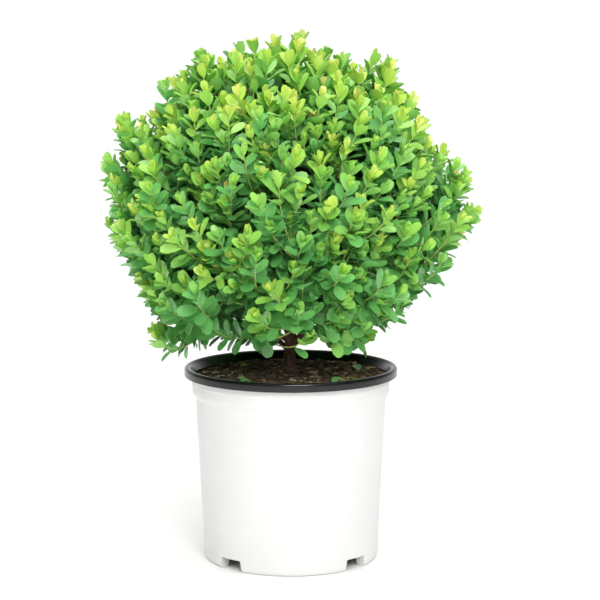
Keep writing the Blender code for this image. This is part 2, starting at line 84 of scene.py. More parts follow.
tent = bpy.data.worlds.new("white_tent")
tent.use_nodes = True
outlook = add_node(tent, "ShaderNodeTexCoord", {}, {})
sides = add_node(tent, "ShaderNodeSeparateXYZ", {}, {"Vector": outlook.outputs["Generated"]})
bands = add_node(tent, "ShaderNodeValToRGB", {}, {"Fac": sides.outputs["Z"]})
while len(bands.color_ramp.elements) < len(TENT_BANDS):
    bands.color_ramp.elements.new(0.5)
for stop, (at, share) in zip(bands.color_ramp.elements, TENT_BANDS):
    stop.position = at
    stop.color = (share, share, share, 1)
aside = add_node(tent, "ShaderNodeMath", {"operation": "ABSOLUTE"}, {0: sides.outputs["X"]})
card_fall = {"From Min": CARD_FROM, "From Max": 1.0, "To Min": TENT_LIGHT, "To Max": TENT_LIGHT * CARD_LIGHT}
cards = add_node(tent, "ShaderNodeMapRange", {"interpolation_type": SOFT_EDGE, **card_fall},
                 {"Value": aside.outputs["Value"]})
room_fall = {"From Min": -1.0, "From Max": ROOM_TO, "To Min": ROOM_LIGHT, "To Max": 1.0}
room = add_node(tent, "ShaderNodeMapRange", {"interpolation_type": SOFT_EDGE, **room_fall},
                {"Value": sides.outputs["Y"]})
screened = add_node(tent, "ShaderNodeMath", {"operation": "MULTIPLY"},
                    {0: room.outputs["Result"], 1: cards.outputs["Result"]})
tent_light = add_node(tent, "ShaderNodeMath", {"operation": "MULTIPLY"},
                      {0: bands.outputs["Color"], 1: screened.outputs["Value"]})
cloth = tent.node_tree.nodes["Background"]
cloth.inputs["Color"].default_value = (1, 1, 1, 1)
tent.node_tree.links.new(tent_light.outputs["Value"], cloth.inputs["Strength"])
bpy.context.scene.world = tent
bpy.context.scene.view_settings.view_transform = "Standard"
key = bpy.data.objects.new("key_lamp", bpy.data.lights.new("key_lamp", "AREA"))
key.data.size = KEY_SIDE
key.data.energy = KEY_WATTS
key.location = KEY_AT
key.rotation_euler = (Vector(SUBJECT) - Vector(KEY_AT)).to_track_quat("-Z", "Y").to_euler()
bpy.context.scene.collection.objects.link(key)

# The floor is one broad sheet of white seamless paper, which the pot stands on.
# Matt coated paper: it takes a soft shadow and no reflection.
MM = 0.001
FLOOR_SIDE = 7.0
PAPER_DROP = 0.2 * MM
PAPER_FIBRE = 0.8 * MM
PAPER_CLOUD = 300 * MM
GRAIN_STRENGTH = 0.6
GRAIN_DETAIL = 3.0
GLOSS_PER_GRAIN = 0.2
GLOSS_DETAIL = 2.0
COLOUR_DETAIL = 5.0
COLOUR_ROUGHNESS = 0.6
NO_TRIANGLES = np.empty((0, 3), int)
NO_QUADS = np.empty((0, 4), int)


def linear(colour):
    """Linear light of an sRGB hex colour: each channel over 255, with the sRGB curve undone."""
    channel = np.array([int(colour[at:at + 2], 16) for at in (1, 3, 5)]) / 255
    low = channel / 12.92
    high = ((channel + 0.055) / 1.055) ** 2.4
    return (*np.where(channel <= 0.04045, low, high).tolist(), 1.0)


def new_material(name, colour, roughness, **sockets):
    """A Principled material with a base colour, a roughness and any other sockets by name."""
    material = bpy.data.materials.new(name)
    material.use_nodes = True
    shader = material.node_tree.nodes["Principled BSDF"]
    shader.inputs["Base Color"].default_value = linear(colour)
    shader.inputs["Roughness"].default_value = roughness
    for socket, value in sockets.items():
        shader.inputs[socket.replace("_", " ")].default_value = value
    material.diffuse_color = linear(colour)
    return material


def add_surface(material, grain, depth, low, high, stretch=(1, 1, 1)):
    """Gives a material its grain: noise of one size lifts the surface, a coarser one varies the gloss."""
    shader = material.node_tree.nodes["Principled BSDF"]
    place = add_node(material, "ShaderNodeTexCoord", {}, {})
    scaled = add_node(material, "ShaderNodeMapping", {"Scale": stretch}, {"Vector": place.outputs["Object"]})
    fine = add_node(material, "ShaderNodeTexNoise", {"Scale": 1 / grain, "Detail": GRAIN_DETAIL},
                    {"Vector": scaled.outputs["Vector"]})
    bump = add_node(material, "ShaderNodeBump", {"Strength": GRAIN_STRENGTH, "Distance": depth},
                    {"Height": fine.outputs["Fac"]})
    patches = {"Scale": GLOSS_PER_GRAIN / grain, "Detail": GLOSS_DETAIL}
    coarse = add_node(material, "ShaderNodeTexNoise", patches, {"Vector": scaled.outputs["Vector"]})
    gloss = add_node(material, "ShaderNodeMapRange", {"To Min": low, "To Max": high},
                     {"Value": coarse.outputs["Fac"]})
    material.node_tree.links.new(bump.outputs["Normal"], shader.inputs["Normal"])
    material.node_tree.links.new(gloss.outputs["Result"], shader.inputs["Roughness"])


def add_colours(material, size, colours, stretch=(1, 1, 1)):
    """Mixes colours over a surface by noise of a real size: (place from 0 to 1, sRGB hex) pairs."""
    shader = material.node_tree.nodes["Principled BSDF"]
    place = add_node(material, "ShaderNodeTexCoord", {}, {})
    scaled = add_node(material, "ShaderNodeMapping", {"Scale": stretch}, {"Vector": place.outputs["Object"]})
    spread = {"Scale": 1 / size, "Detail": COLOUR_DETAIL, "Roughness": COLOUR_ROUGHNESS}
    noise = add_node(material, "ShaderNodeTexNoise", spread, {"Vector": scaled.outputs["Vector"]})
    ramp = add_node(material, "ShaderNodeValToRGB", {}, {"Fac": noise.outputs["Fac"]})
    stops = ramp.color_ramp.elements
    while len(stops) < len(colours):
        stops.new(0.5)
    for stop, (at, colour) in zip(stops, colours):
        stop.position = at
        stop.color = linear(colour)
    material.node_tree.links.new(ramp.outputs["Color"], shader.inputs["Base Color"])


def grid_faces(rows, columns):
    """Quads of a grid numbered row by row, whose last column joins the first."""
    row = np.arange(rows - 1)[:, None] * columns
    column = np.arange(columns)[None, :]
    beside = (column + 1) % columns
    corners = (row + column, row + beside, row + columns + beside, row + columns + column)
    return np.stack(np.broadcast_arrays(*corners), axis=-1).reshape(-1, 4)


def add_mesh(name, points, quads, triangles, material, smooth_below):
    """A mesh object from arrays of points, quads and triangles, creased where faces meet sharply."""
    mesh = bpy.data.meshes.new(name)
    mesh.vertices.add(len(points))
    mesh.vertices.foreach_set("co", np.ascontiguousarray(points, np.float32).ravel())
    corners = np.concatenate([np.ravel(quads), np.ravel(triangles)]).astype(np.int32)
    sizes = np.concatenate([np.full(len(quads), 4), np.full(len(triangles), 3)])
    starts = (np.cumsum(sizes) - sizes).astype(np.int32)
    mesh.loops.add(len(corners))
    mesh.loops.foreach_set("vertex_index", corners)
    mesh.polygons.add(len(starts))
    mesh.polygons.foreach_set("loop_start", starts)
    mesh.materials.append(material)
    mesh.polygons.foreach_set("use_smooth", np.ones(len(starts), bool))
    mesh.update(calc_edges=True)
    mesh.set_sharp_from_angle(angle=math.radians(smooth_below))
    piece = bpy.data.objects.new(name, mesh)
    bpy.context.scene.collection.objects.link(piece)
    return piece


# Seamless paper: cotton-white, matt, with a fibre grain that is only felt as softness.
paper = new_material("white_coated_paper", "#F6F6F4", 0.9)
add_surface(paper, PAPER_FIBRE, 0.02 * MM, 0.85, 0.95)
add_colours(paper, PAPER_CLOUD, ((0.3, "#F4F4F2"), (0.7, "#F8F8F6")))
half = FLOOR_SIDE / 2
sheet = np.array([(-half, -half), (half, -half), (half, half), (-half, half)])
sheet_points = np.column_stack([sheet, np.full(4, -PAPER_DROP)])
floor = add_mesh("floor", sheet_points, np.array([[0, 1, 2, 3]]), NO_TRIANGLES, paper, smooth_below=30)

# The pot's white outer wall: the outer layer of a nursery pot of two-layer polypropylene sheet, which
# is heated and drawn into a mould, and bare all round. It stands on a foot ring with four slanted
# notches, and its floor has four drain holes.
POT_SEGMENTS = 288
WALL_CREASE = 28
POT_HEIGHT = 208 * MM
POT_TURN = math.radians(2.5)
LIP_RADIUS = 114.6 * MM
LIP_HEIGHT = 9.4 * MM
LIP_WIDTH = 6 * MM
COLLAR_RADIUS = 107 * MM
COLLAR_STEP = 0.8 * MM
COLLAR_STEP_Z = 191.5 * MM
COLLAR_FOOT_Z = 180.5 * MM
WALL_TOP_RADIUS = 102.4 * MM
WALL_TOP_Z = 175.5 * MM
WALL_FOOT_RADIUS = 94.6 * MM
WALL_FOOT_Z = 22 * MM
WHITE_THICKNESS = 1.3 * MM
BLACK_THICKNESS = 1.1 * MM
GAP = 0.3 * MM
FLOOR_Z = 12 * MM
FOOT_RADIUS = 92.5 * MM
FOOT_INNER_RADIUS = 83.5 * MM
FOOT_DRAFT = 1.5 * MM
FOOT_DRAFT_OUT = 0.5 * MM
FOOT_ROUND = 4 * MM
FOOT_INNER_ROUND = 0.8 * MM
EDGE_ROUND = 1.8 * MM
WALL_ROUND = 6 * MM
STEP_FOOT_ROUND = 0.3 * MM
STEP_ROUND = 0.4 * MM
FLOOR_ROUND = 1 * MM
FLOOR_DRAFT = 0.6 * MM
SHOULDER_DROP = 0.4
NOTCH_COUNT = 4
NOTCH_WIDTH = 33 * MM
NOTCH_TOP_WIDTH = 27 * MM
NOTCH_HEIGHT = 12.4 * MM
NOTCH_DEPTH = 24 * MM
DRAIN_RADIUS = 5 * MM
DRAIN_CIRCLE = 70 * MM
DRAIN_SIDES = 32
SQUARE = ((-0.5, -0.5), (0.5, -0.5), (0.5, 0.5), (-0.5, 0.5))
CUBE = np.array([(x, y, z) for z in (-0.5, 0.5) for x, y in SQUARE])
CUBE_WALLS = np.array([(3, 2, 1, 0), (4, 5, 6, 7), (0, 1, 5, 4), (1, 2, 6, 5), (2, 3, 7, 6), (3, 0, 4, 7)])


def rounded(corners, steps=6):
    """A profile whose corners (radius, height, round) become arcs that start that far before each."""
    path = [np.array(corners[0][:2])]
    share = np.linspace(0, 1, steps)[:, None]
    for before, here, after in zip(corners, corners[1:], corners[2:]):
        corner = np.array(here[:2])
        back = np.array(before[:2]) - corner
        onward = np.array(after[:2]) - corner
        start = corner + back / np.linalg.norm(back) * here[2]
        end = corner + onward / np.linalg.norm(onward) * here[2]
        arc = (1 - share) ** 2 * start + 2 * share * (1 - share) * corner + share ** 2 * end
        path.extend(arc if here[2] else arc[:1])
    path.append(np.array(corners[-1][:2]))
    return np.array(path)


def end_fans(rings, sides):
    """Triangles that close a tube of rings at both ends, to two poles numbered after its points."""
    here = np.arange(sides)
    beside = (here + 1) % sides
    last = (rings - 1) * sides
    below = np.column_stack([beside, here, np.full(sides, rings * sides)])
    above = np.column_stack([last + here, last + beside, np.full(sides, rings * sides + 1)])
    return np.vstack([below, above])


def turned(profile, segments):
    """Turns (radius, height) pairs about Z: out below, up outside and back in, from axis to axis."""
    angle = np.arange(segments) * 2 * math.pi / segments
    ring = profile[1:-1]
    across = ring[:, :1] * np.cos(angle)
    deep = ring[:, :1] * np.sin(angle)
    high = np.broadcast_to(ring[:, 1:], across.shape)
    points = np.stack([across, deep, high], axis=-1).reshape(-1, 3)
    poles = np.array([(0, 0, profile[0][1]), (0, 0, profile[-1][1])])
    return np.vstack([points, poles]), grid_faces(len(ring), segments), end_fans(len(ring), segments)


def inner_wall(inset, soft=0.0):
    """The white wall's inside, moved in by an inset: (radius, height, round) from the shoulder down."""
    return [
        (COLLAR_RADIUS - COLLAR_STEP - inset, COLLAR_FOOT_Z - SHOULDER_DROP * inset, soft),
        (WALL_TOP_RADIUS - inset, WALL_TOP_Z - SHOULDER_DROP * inset, soft),
        (WALL_FOOT_RADIUS - inset, WALL_FOOT_Z + FOOT_ROUND, soft),
        (WALL_FOOT_RADIUS - inset - FLOOR_DRAFT, FLOOR_Z + inset, 0),
        (0, FLOOR_Z + inset, 0),
    ]


def cut_away(piece, cutters):
    """Takes closed cutter pieces out of a piece, bakes the result into its mesh and removes them."""
    for cutter in cutters:
        boolean = piece.modifiers.new(cutter.name, "BOOLEAN")
        boolean.operation = "DIFFERENCE"
        boolean.object = cutter
    bpy.context.view_layer.update()
    graph = bpy.context.evaluated_depsgraph_get()
    piece.data = bpy.data.meshes.new_from_object(piece.evaluated_get(graph))
    piece.modifiers.clear()
    for cutter in cutters:
        bpy.data.objects.remove(cutter)


# Polypropylene: bright white and satin, as the sheet comes off the mould, faintly uneven in gloss.
white_plastic = new_material("white_polypropylene_thermoformed", "#E9E9E8", 0.36, IOR=1.49)
add_surface(white_plastic, 0.9 * MM, 0.012 * MM, 0.32, 0.42)
add_colours(white_plastic, 60 * MM, ((0.3, "#E6E6E5"), (0.7, "#ECECEB")))
collar_top = POT_HEIGHT - LIP_HEIGHT - GAP
inside_radius = COLLAR_RADIUS - COLLAR_STEP - WHITE_THICKNESS
white_profile = rounded([
    (0, FLOOR_Z, 0),
    (FOOT_INNER_RADIUS - FOOT_DRAFT, FLOOR_Z, FLOOR_ROUND),
    (FOOT_INNER_RADIUS, 0, FOOT_INNER_ROUND),
    (FOOT_RADIUS, 0, EDGE_ROUND),
    (WALL_FOOT_RADIUS - FOOT_DRAFT_OUT, FOOT_ROUND, EDGE_ROUND),
    (WALL_FOOT_RADIUS, WALL_FOOT_Z, WALL_ROUND),
    (WALL_TOP_RADIUS, WALL_TOP_Z, EDGE_ROUND),
    (COLLAR_RADIUS - COLLAR_STEP, COLLAR_FOOT_Z, EDGE_ROUND),
    (COLLAR_RADIUS - COLLAR_STEP, COLLAR_STEP_Z - COLLAR_STEP, STEP_FOOT_ROUND),
    (COLLAR_RADIUS, COLLAR_STEP_Z, STEP_ROUND),
    (COLLAR_RADIUS, collar_top, 0),
    (inside_radius, collar_top, 0),
    *inner_wall(WHITE_THICKNESS),
])
pot_wall = add_mesh("pot_white_wall", *turned(white_profile, POT_SEGMENTS), white_plastic, WALL_CREASE)
cutters = []
for k in range(NOTCH_COUNT):
    azimuth = POT_TURN + math.pi / NOTCH_COUNT + k * 2 * math.pi / NOTCH_COUNT
    outward = np.array((math.sin(azimuth), -math.cos(azimuth), 0))
    along = np.array((math.cos(azimuth), math.sin(azimuth), 0))
    middle = outward * (FOOT_INNER_RADIUS + WALL_FOOT_RADIUS) / 2
    block = np.array([
        middle + along * x * (NOTCH_TOP_WIDTH if z > 0 else NOTCH_WIDTH)
        - outward * y * NOTCH_DEPTH + np.array((0, 0, z * 2 * NOTCH_HEIGHT))
        for x, y, z in CUBE
    ])
    cutters.append(add_mesh(f"notch_{k}", block, CUBE_WALLS, NO_TRIANGLES, white_plastic, smooth_below=30))
    bore = rounded([(0, 0, 0), (DRAIN_RADIUS, 0, 0), (DRAIN_RADIUS, 2 * FLOOR_Z, 0), (0, 2 * FLOOR_Z, 0)])
    bore_points, bore_quads, bore_ends = turned(bore, DRAIN_SIDES)
    bore_points = bore_points + outward * DRAIN_CIRCLE
    cutters.append(add_mesh(f"drain_{k}", bore_points, bore_quads, bore_ends, white_plastic, smooth_below=30))
cut_away(pot_wall, cutters)
pot_wall.data.set_sharp_from_angle(angle=math.radians(WALL_CREASE))
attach(pot_wall, "root")
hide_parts("pot_body")

# The pot's black lining: the inner layer of the same polypropylene sheet, which lines the white wall.
# It is rolled outwards at the top into a thick lip, which the pot is carried by.
LIP_FOOT_ROUND = 1.1 * MM
LIP_ROUND = 3.2 * MM
LIP_INNER_ROUND = 2.6 * MM
LIP_ROOT_ROUND = 1.5 * MM
LINING_ROUND = 1 * MM
LIP_ARC_STEPS = 8

# Black polypropylene: deep and glossy from being stretched over the roll, with soft highlights.
black_plastic = new_material("black_polypropylene_thermoformed", "#08080A", 0.2, IOR=1.49)
add_surface(black_plastic, 1.6 * MM, 0.01 * MM, 0.17, 0.26)
add_colours(black_plastic, 40 * MM, ((0.3, "#060608"), (0.7, "#0C0C0E")))
lip_foot = POT_HEIGHT - LIP_HEIGHT
skin = inner_wall(WHITE_THICKNESS + GAP)
face = inner_wall(WHITE_THICKNESS + GAP + BLACK_THICKNESS, LINING_ROUND)
black_profile = rounded([
    *reversed(skin),
    (skin[0][0], lip_foot, 0),
    (LIP_RADIUS, lip_foot, LIP_FOOT_ROUND),
    (LIP_RADIUS, POT_HEIGHT, LIP_ROUND),
    (LIP_RADIUS - LIP_WIDTH, POT_HEIGHT, LIP_INNER_ROUND),
    (face[0][0], lip_foot, LIP_ROOT_ROUND),
    *face,
], LIP_ARC_STEPS)
pot_lip = add_mesh("pot_black_lining", *turned(black_profile, POT_SEGMENTS), black_plastic, smooth_below=32)
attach(pot_lip, "root")
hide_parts("pot_lining")

# The growing mix: composted pine bark and peat, filled in by hand to a centimetre below the lip's top.
# Its top is crumbly and a little higher round the stem, and it settles at the pot's wall.
SOIL_EDGE_Z = 197.5 * MM
SOIL_TOP_Z = 200.5 * MM
SOIL_LEVEL_RADIUS = 26 * MM
SOIL_SHOULDER = 0.7
SOIL_COLUMNS = 200
SOIL_RINGS = 56
CRUMB = 7 * MM
CRUMB_HEIGHT = 1.5 * MM
CRUMB_SHIFT = 20
CRUMB_SEED = 3
FINE_CRUMBS = 2.7
FINE_HEIGHT = 0.6
CRUMB_FADE = 6 * MM
SOIL_EYE = 0.8 * MM
LATTICE_ROWS = 64


def value_noise(x, y, seed, period=LATTICE_ROWS):
    """Smooth noise from -1 to 1: random values on a lattice of whole numbers, blended between them."""
    lattice = np.random.default_rng(seed).uniform(-1, 1, (period, LATTICE_ROWS))
    column = np.floor(x).astype(int)
    row = np.floor(y).astype(int)
    across = x - column
    along = y - row
    across = across * across * (3 - 2 * across)
    along = along * along * (3 - 2 * along)
    left = lattice[column % period, row % LATTICE_ROWS]
    right = lattice[(column + 1) % period, row % LATTICE_ROWS]
    left_on = lattice[column % period, (row + 1) % LATTICE_ROWS]
    right_on = lattice[(column + 1) % period, (row + 1) % LATTICE_ROWS]
    near = left + (right - left) * across
    far = left_on + (right_on - left_on) * across
    return near + (far - near) * along


soil_edge = COLLAR_RADIUS - COLLAR_STEP - WHITE_THICKNESS - BLACK_THICKNESS - 2 * GAP


def soil_height(x, y):
    """The mix's top: level round the stem, sloping to the wall, with crumbs that fade out there."""
    radius = np.hypot(x, y)
    slope = np.interp(radius, (SOIL_LEVEL_RADIUS, SOIL_SHOULDER * soil_edge, soil_edge),
                      (SOIL_TOP_Z, (SOIL_TOP_Z + SOIL_EDGE_Z) / 2, SOIL_EDGE_Z))
    coarse = value_noise(x / CRUMB + CRUMB_SHIFT, y / CRUMB + CRUMB_SHIFT, CRUMB_SEED)
    fine = value_noise(FINE_CRUMBS * x / CRUMB, FINE_CRUMBS * y / CRUMB, CRUMB_SEED + 1)
    fade = np.clip((soil_edge - radius) / CRUMB_FADE, 0, 1)
    return slope + (coarse + FINE_HEIGHT * fine) * CRUMB_HEIGHT * fade


# Bark and peat: dark brown and dull, with paler dry crumbs.
mix = new_material("composted_bark_mix", "#3A3026", 0.95)
add_surface(mix, 2.2 * MM, 0.9 * MM, 0.88, 1.0)
add_colours(mix, 5 * MM, ((0.3, "#2E271C"), (0.5, "#4C4030"), (0.72, "#77674E")))
side = inner_wall(WHITE_THICKNESS + BLACK_THICKNESS + 2 * GAP)
soil_radii = np.linspace(soil_edge, SOIL_EYE, SOIL_RINGS)
soil_profile = np.array([*[point[:2] for point in reversed(side)],
                         *zip(soil_radii, np.full(SOIL_RINGS, SOIL_EDGE_Z)), (0, SOIL_TOP_Z)])
soil_points, soil_quads, soil_ends = turned(soil_profile, SOIL_COLUMNS)
on_top = soil_points[:, 2] > SOIL_EDGE_Z - GAP
soil_points[on_top, 2] = soil_height(soil_points[on_top, 0], soil_points[on_top, 1])
soil = add_mesh("growing_mix_body", soil_points, soil_quads, soil_ends, mix, smooth_below=50)
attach(soil, "root")
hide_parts("growing_mix")

# Loose bark on the mix: screened pine chips, a few millimetres to a centimetre long, lying as they fell.
# Some are dark and wet, some tan, and a few have dried pale.
CHIP_KINDS = (
    ("bark_chips_dark", "#4A3A2A", 620),
    ("bark_chips_brown", "#705A40", 420),
    ("bark_chips_pale", "#B7A583", 130),
)
CHIP_SEED = 100
CHIP_SMALLEST = (3, 2, 0.9)
CHIP_LARGEST = (9, 4.5, 2.2)
CHIP_UNEVEN = (0.6, 1.25)
CHIP_TILT = 0.3
CHIP_RAISED = 0.35
CHIP_MIDDLE = 0.004
WALL_MARGIN = 3 * MM
ANY_TURN = 6.3


def turns(azimuth, tilt):
    """Rotation matrices that turn each thing about Z by an azimuth after tipping it over by a tilt."""
    cos_a, sin_a, cos_t, sin_t = np.cos(azimuth), np.sin(azimuth), np.cos(tilt), np.sin(tilt)
    zero = np.zeros_like(azimuth)
    rows = [cos_a, -sin_a * cos_t, sin_a * sin_t, sin_a, cos_a * cos_t, -cos_a * sin_t, zero, sin_t, cos_t]
    return np.stack(rows, axis=-1).reshape(-1, 3, 3)


for seed, (name, colour, count) in enumerate(CHIP_KINDS):
    dice = np.random.default_rng(CHIP_SEED + seed)
    radius = (soil_edge - WALL_MARGIN) * np.sqrt(dice.uniform(CHIP_MIDDLE, 1, count))
    azimuth = dice.uniform(0, 2 * math.pi, count)
    x, y = radius * np.cos(azimuth), radius * np.sin(azimuth)
    sizes = dice.uniform(CHIP_SMALLEST, CHIP_LARGEST, (count, 3)) * MM
    shapes = CUBE * sizes[:, None] * dice.uniform(*CHIP_UNEVEN, (count, len(CUBE), 3))
    chip_turns = turns(dice.uniform(0, ANY_TURN, count), dice.normal(0, CHIP_TILT, count))
    turned_chips = np.einsum("nij,nkj->nki", chip_turns, shapes)
    places = np.column_stack([x, y, soil_height(x, y) + sizes[:, 2] * CHIP_RAISED])
    chip_points = (turned_chips + places[:, None]).reshape(-1, 3)
    chip_walls = (CUBE_WALLS + len(CUBE) * np.arange(count)[:, None, None]).reshape(-1, 4)
    # Screened bark: dull and fibrous, rough enough to show no highlight.
    bark_chip = new_material(name.replace("chips", "chip"), colour, 0.85)
    add_surface(bark_chip, 0.9 * MM, 0.25 * MM, 0.78, 0.95)
    chips = add_mesh(name, chip_points, chip_walls, NO_TRIANGLES, bark_chip, smooth_below=20)
    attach(chips, "root")

# Moss: small yellow-green cushions that have grown on the damp mix, most of them at the front.
# Each is a tuft of short upright threads, and the mix shows between them. Places are in millimetres.
MOSS_SPOTS = ((-14, -84, 11), (-31, -80, 7), (4, -70, 6), (58, -52, 9), (66, -34, 6), (-66, -46, 7),
              (28, -88, 6), (-52, 62, 9), (70, 40, 8), (10, 84, 8))
MOSS_THREADS = 130
MOSS_HEIGHT = 2.6 * MM
MOSS_WIDTH = 0.5 * MM
MOSS_LEAN = 0.45
MOSS_UNEVEN = (0.5, 1.2)
MOSS_SEED = 17
dice = np.random.default_rng(MOSS_SEED)
moss_points = []
for x, y, size in MOSS_SPOTS:
    places = np.array((x, y)) * MM + dice.normal(0, size * MM / 2, (MOSS_THREADS, 2))
    places = places[np.hypot(places[:, 0], places[:, 1]) < soil_edge - WALL_MARGIN]
    foot = np.column_stack([places, soil_height(places[:, 0], places[:, 1])])
    lean = dice.normal(0, MOSS_LEAN, (len(foot), 3)) * (1, 1, 0) + (0, 0, 1)
    tip = foot + lean * (MOSS_HEIGHT * dice.uniform(*MOSS_UNEVEN, (len(foot), 1)))
    turn = dice.uniform(0, 2 * math.pi, (len(foot), 1)) + np.arange(3) * 2 * math.pi / 3
    corners = np.stack([np.cos(turn), np.sin(turn), 0 * turn], axis=-1) * MOSS_WIDTH + foot[:, None]
    moss_points.append(np.concatenate([corners, tip[:, None]], axis=1))
moss_points = np.concatenate(moss_points)
thread = np.array([(0, 2, 1), (0, 1, 3), (1, 2, 3), (2, 0, 3)])
thread_faces = (thread + moss_points.shape[1] * np.arange(len(moss_points))[:, None, None]).reshape(-1, 3)

# Moss: yellow-green and matt, mottled between its tufts.
moss_green = new_material("living_moss", "#7C9A34", 0.8)
add_surface(moss_green, 1 * MM, 0.1 * MM, 0.72, 0.9)
add_colours(moss_green, 8 * MM, ((0.35, "#5F8028"), (0.65, "#9DB044")))
moss = add_mesh("moss_tufts", moss_points.reshape(-1, 3), NO_QUADS, thread_faces, moss_green, smooth_below=40)
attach(moss, "root")

# The trunk: one short woody stem with a fine grey-brown bark, leaning a little to the right.
# It flares where it meets the mix, and boughs leave it from a fifth of its height to its top.
# A PLATES row has how many bark plates go round, their step along, their depth and their seed.
UP = np.array((0.0, 0.0, 1.0))
TRUNK_FOOT = np.array((-2, 4, 0)) * MM
TRUNK_LEAN = np.array((3, -2, 0)) * MM
TRUNK_SWAY = np.array((2, -1.2, 0)) * MM
TRUNK_LENGTH = 102 * MM
TRUNK_RADIUS = 6.6 * MM
TRUNK_TOP_RADIUS = 4.2 * MM
FLARE_RADIUS = 11.5 * MM
FLARE_FALLS = 20.8
TRUNK_SIDES = 44
TRUNK_STEPS = 120
TRUNK_PLATES = (11, 0.11, 0.09, 21)
UPRIGHT = 0.8
FOOT_POLE = 0.2
TIP_POLE = 0.8
LIMB_SHIFT = 9
FINE_LIMB_SHIFT = 5
FINE_PLATES = 0.5


def trunk_line(share):
    """The trunk's middle at a share of its length: straight up, with a steady lean and one soft sway."""
    share = np.asarray(share, float)[..., None]
    start = TRUNK_FOOT + UP * (SOIL_TOP_Z + GAP)
    sway = TRUNK_SWAY * share * np.sin(math.pi * share)
    return start + UP * TRUNK_LENGTH * share + TRUNK_LEAN * share + sway


def unit(vectors):
    """Vectors brought to length one: each divided by its own length."""
    return vectors / np.linalg.norm(vectors, axis=-1, keepdims=True)


def square_frames(paths):
    """Along each path (count, steps, 3): its direction, and two directions square to it."""
    along = unit(np.gradient(paths, axis=1))
    chord = unit(paths[:, -1] - paths[:, 0])
    hint = np.where(np.abs(chord[:, 2:]) > UPRIGHT, (1.0, 0.0, 0.0), (0.0, 0.0, 1.0))
    side = np.cross(chord, hint)[:, None]
    side = unit(side - along * np.sum(side * along, axis=-1, keepdims=True))
    return along, side, np.cross(along, side)


def tubes(paths, radii, sides, relief=0.0):
    """Round limbs along many paths at once, with a pole at each end; relief swells or sinks the skin."""
    along, side, other = square_frames(paths)
    angle = np.arange(sides) * 2 * math.pi / sides
    swell = (radii[..., None] * (1 + relief))[..., None]
    round_it = np.cos(angle)[:, None] * side[:, :, None] + np.sin(angle)[:, None] * other[:, :, None]
    rings = paths[:, :, None] + swell * round_it
    count, steps = radii.shape
    foot = paths[:, :1] - along[:, :1] * radii[:, :1, None] * FOOT_POLE
    tip = paths[:, -1:] + along[:, -1:] * radii[:, -1:, None] * TIP_POLE
    points = np.concatenate([rings.reshape(count, -1, 3), foot, tip], axis=1)
    start = points.shape[1] * np.arange(count)[:, None, None]
    quads = (grid_faces(steps, sides) + start).reshape(-1, 4)
    return points.reshape(-1, 3), quads, (end_fans(steps, sides) + start).reshape(-1, 3)


def bark_relief(count, steps, sides, cells, stretch, depth, seed):
    """Bark plates: noise that is longer along the limb than across it, with noise half as large added.

    Each limb reads another stretch of the noise, so that no two have the same plates.
    """
    across, along = np.broadcast_arrays(np.arange(sides) / sides * cells, np.arange(steps)[:, None] * stretch)
    layers = [
        value_noise(across, along + LIMB_SHIFT * k, seed, cells)
        + FINE_PLATES * value_noise(2 * across, 2 * along + FINE_LIMB_SHIFT * k, seed + 1, 2 * cells)
        for k in range(count)
    ]
    return depth * np.array(layers)


# Boxwood bark: thin, fissured, grey-brown with a reddish tinge in the cracks, dull and dry.
bark = new_material("boxwood_bark", "#5E4634", 0.85)
add_surface(bark, 1.2 * MM, 0.35 * MM, 0.75, 0.95, (1, 1, 0.35))
add_colours(bark, 4 * MM, ((0.28, "#33221A"), (0.5, "#5A4030"), (0.75, "#856C56")), (1, 1, 0.3))
share = np.linspace(0, 1, TRUNK_STEPS)
fall = np.exp(-FLARE_FALLS * share)
trunk_radii = TRUNK_RADIUS + (TRUNK_TOP_RADIUS - TRUNK_RADIUS) * share + (FLARE_RADIUS - TRUNK_RADIUS) * fall
trunk_relief = bark_relief(1, TRUNK_STEPS, TRUNK_SIDES, *TRUNK_PLATES)
trunk_tube = tubes(trunk_line(share)[None], trunk_radii[None], TRUNK_SIDES, trunk_relief)
trunk = add_mesh("trunk_bark", *trunk_tube, bark, smooth_below=60)
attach(trunk, "root")
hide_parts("trunk")

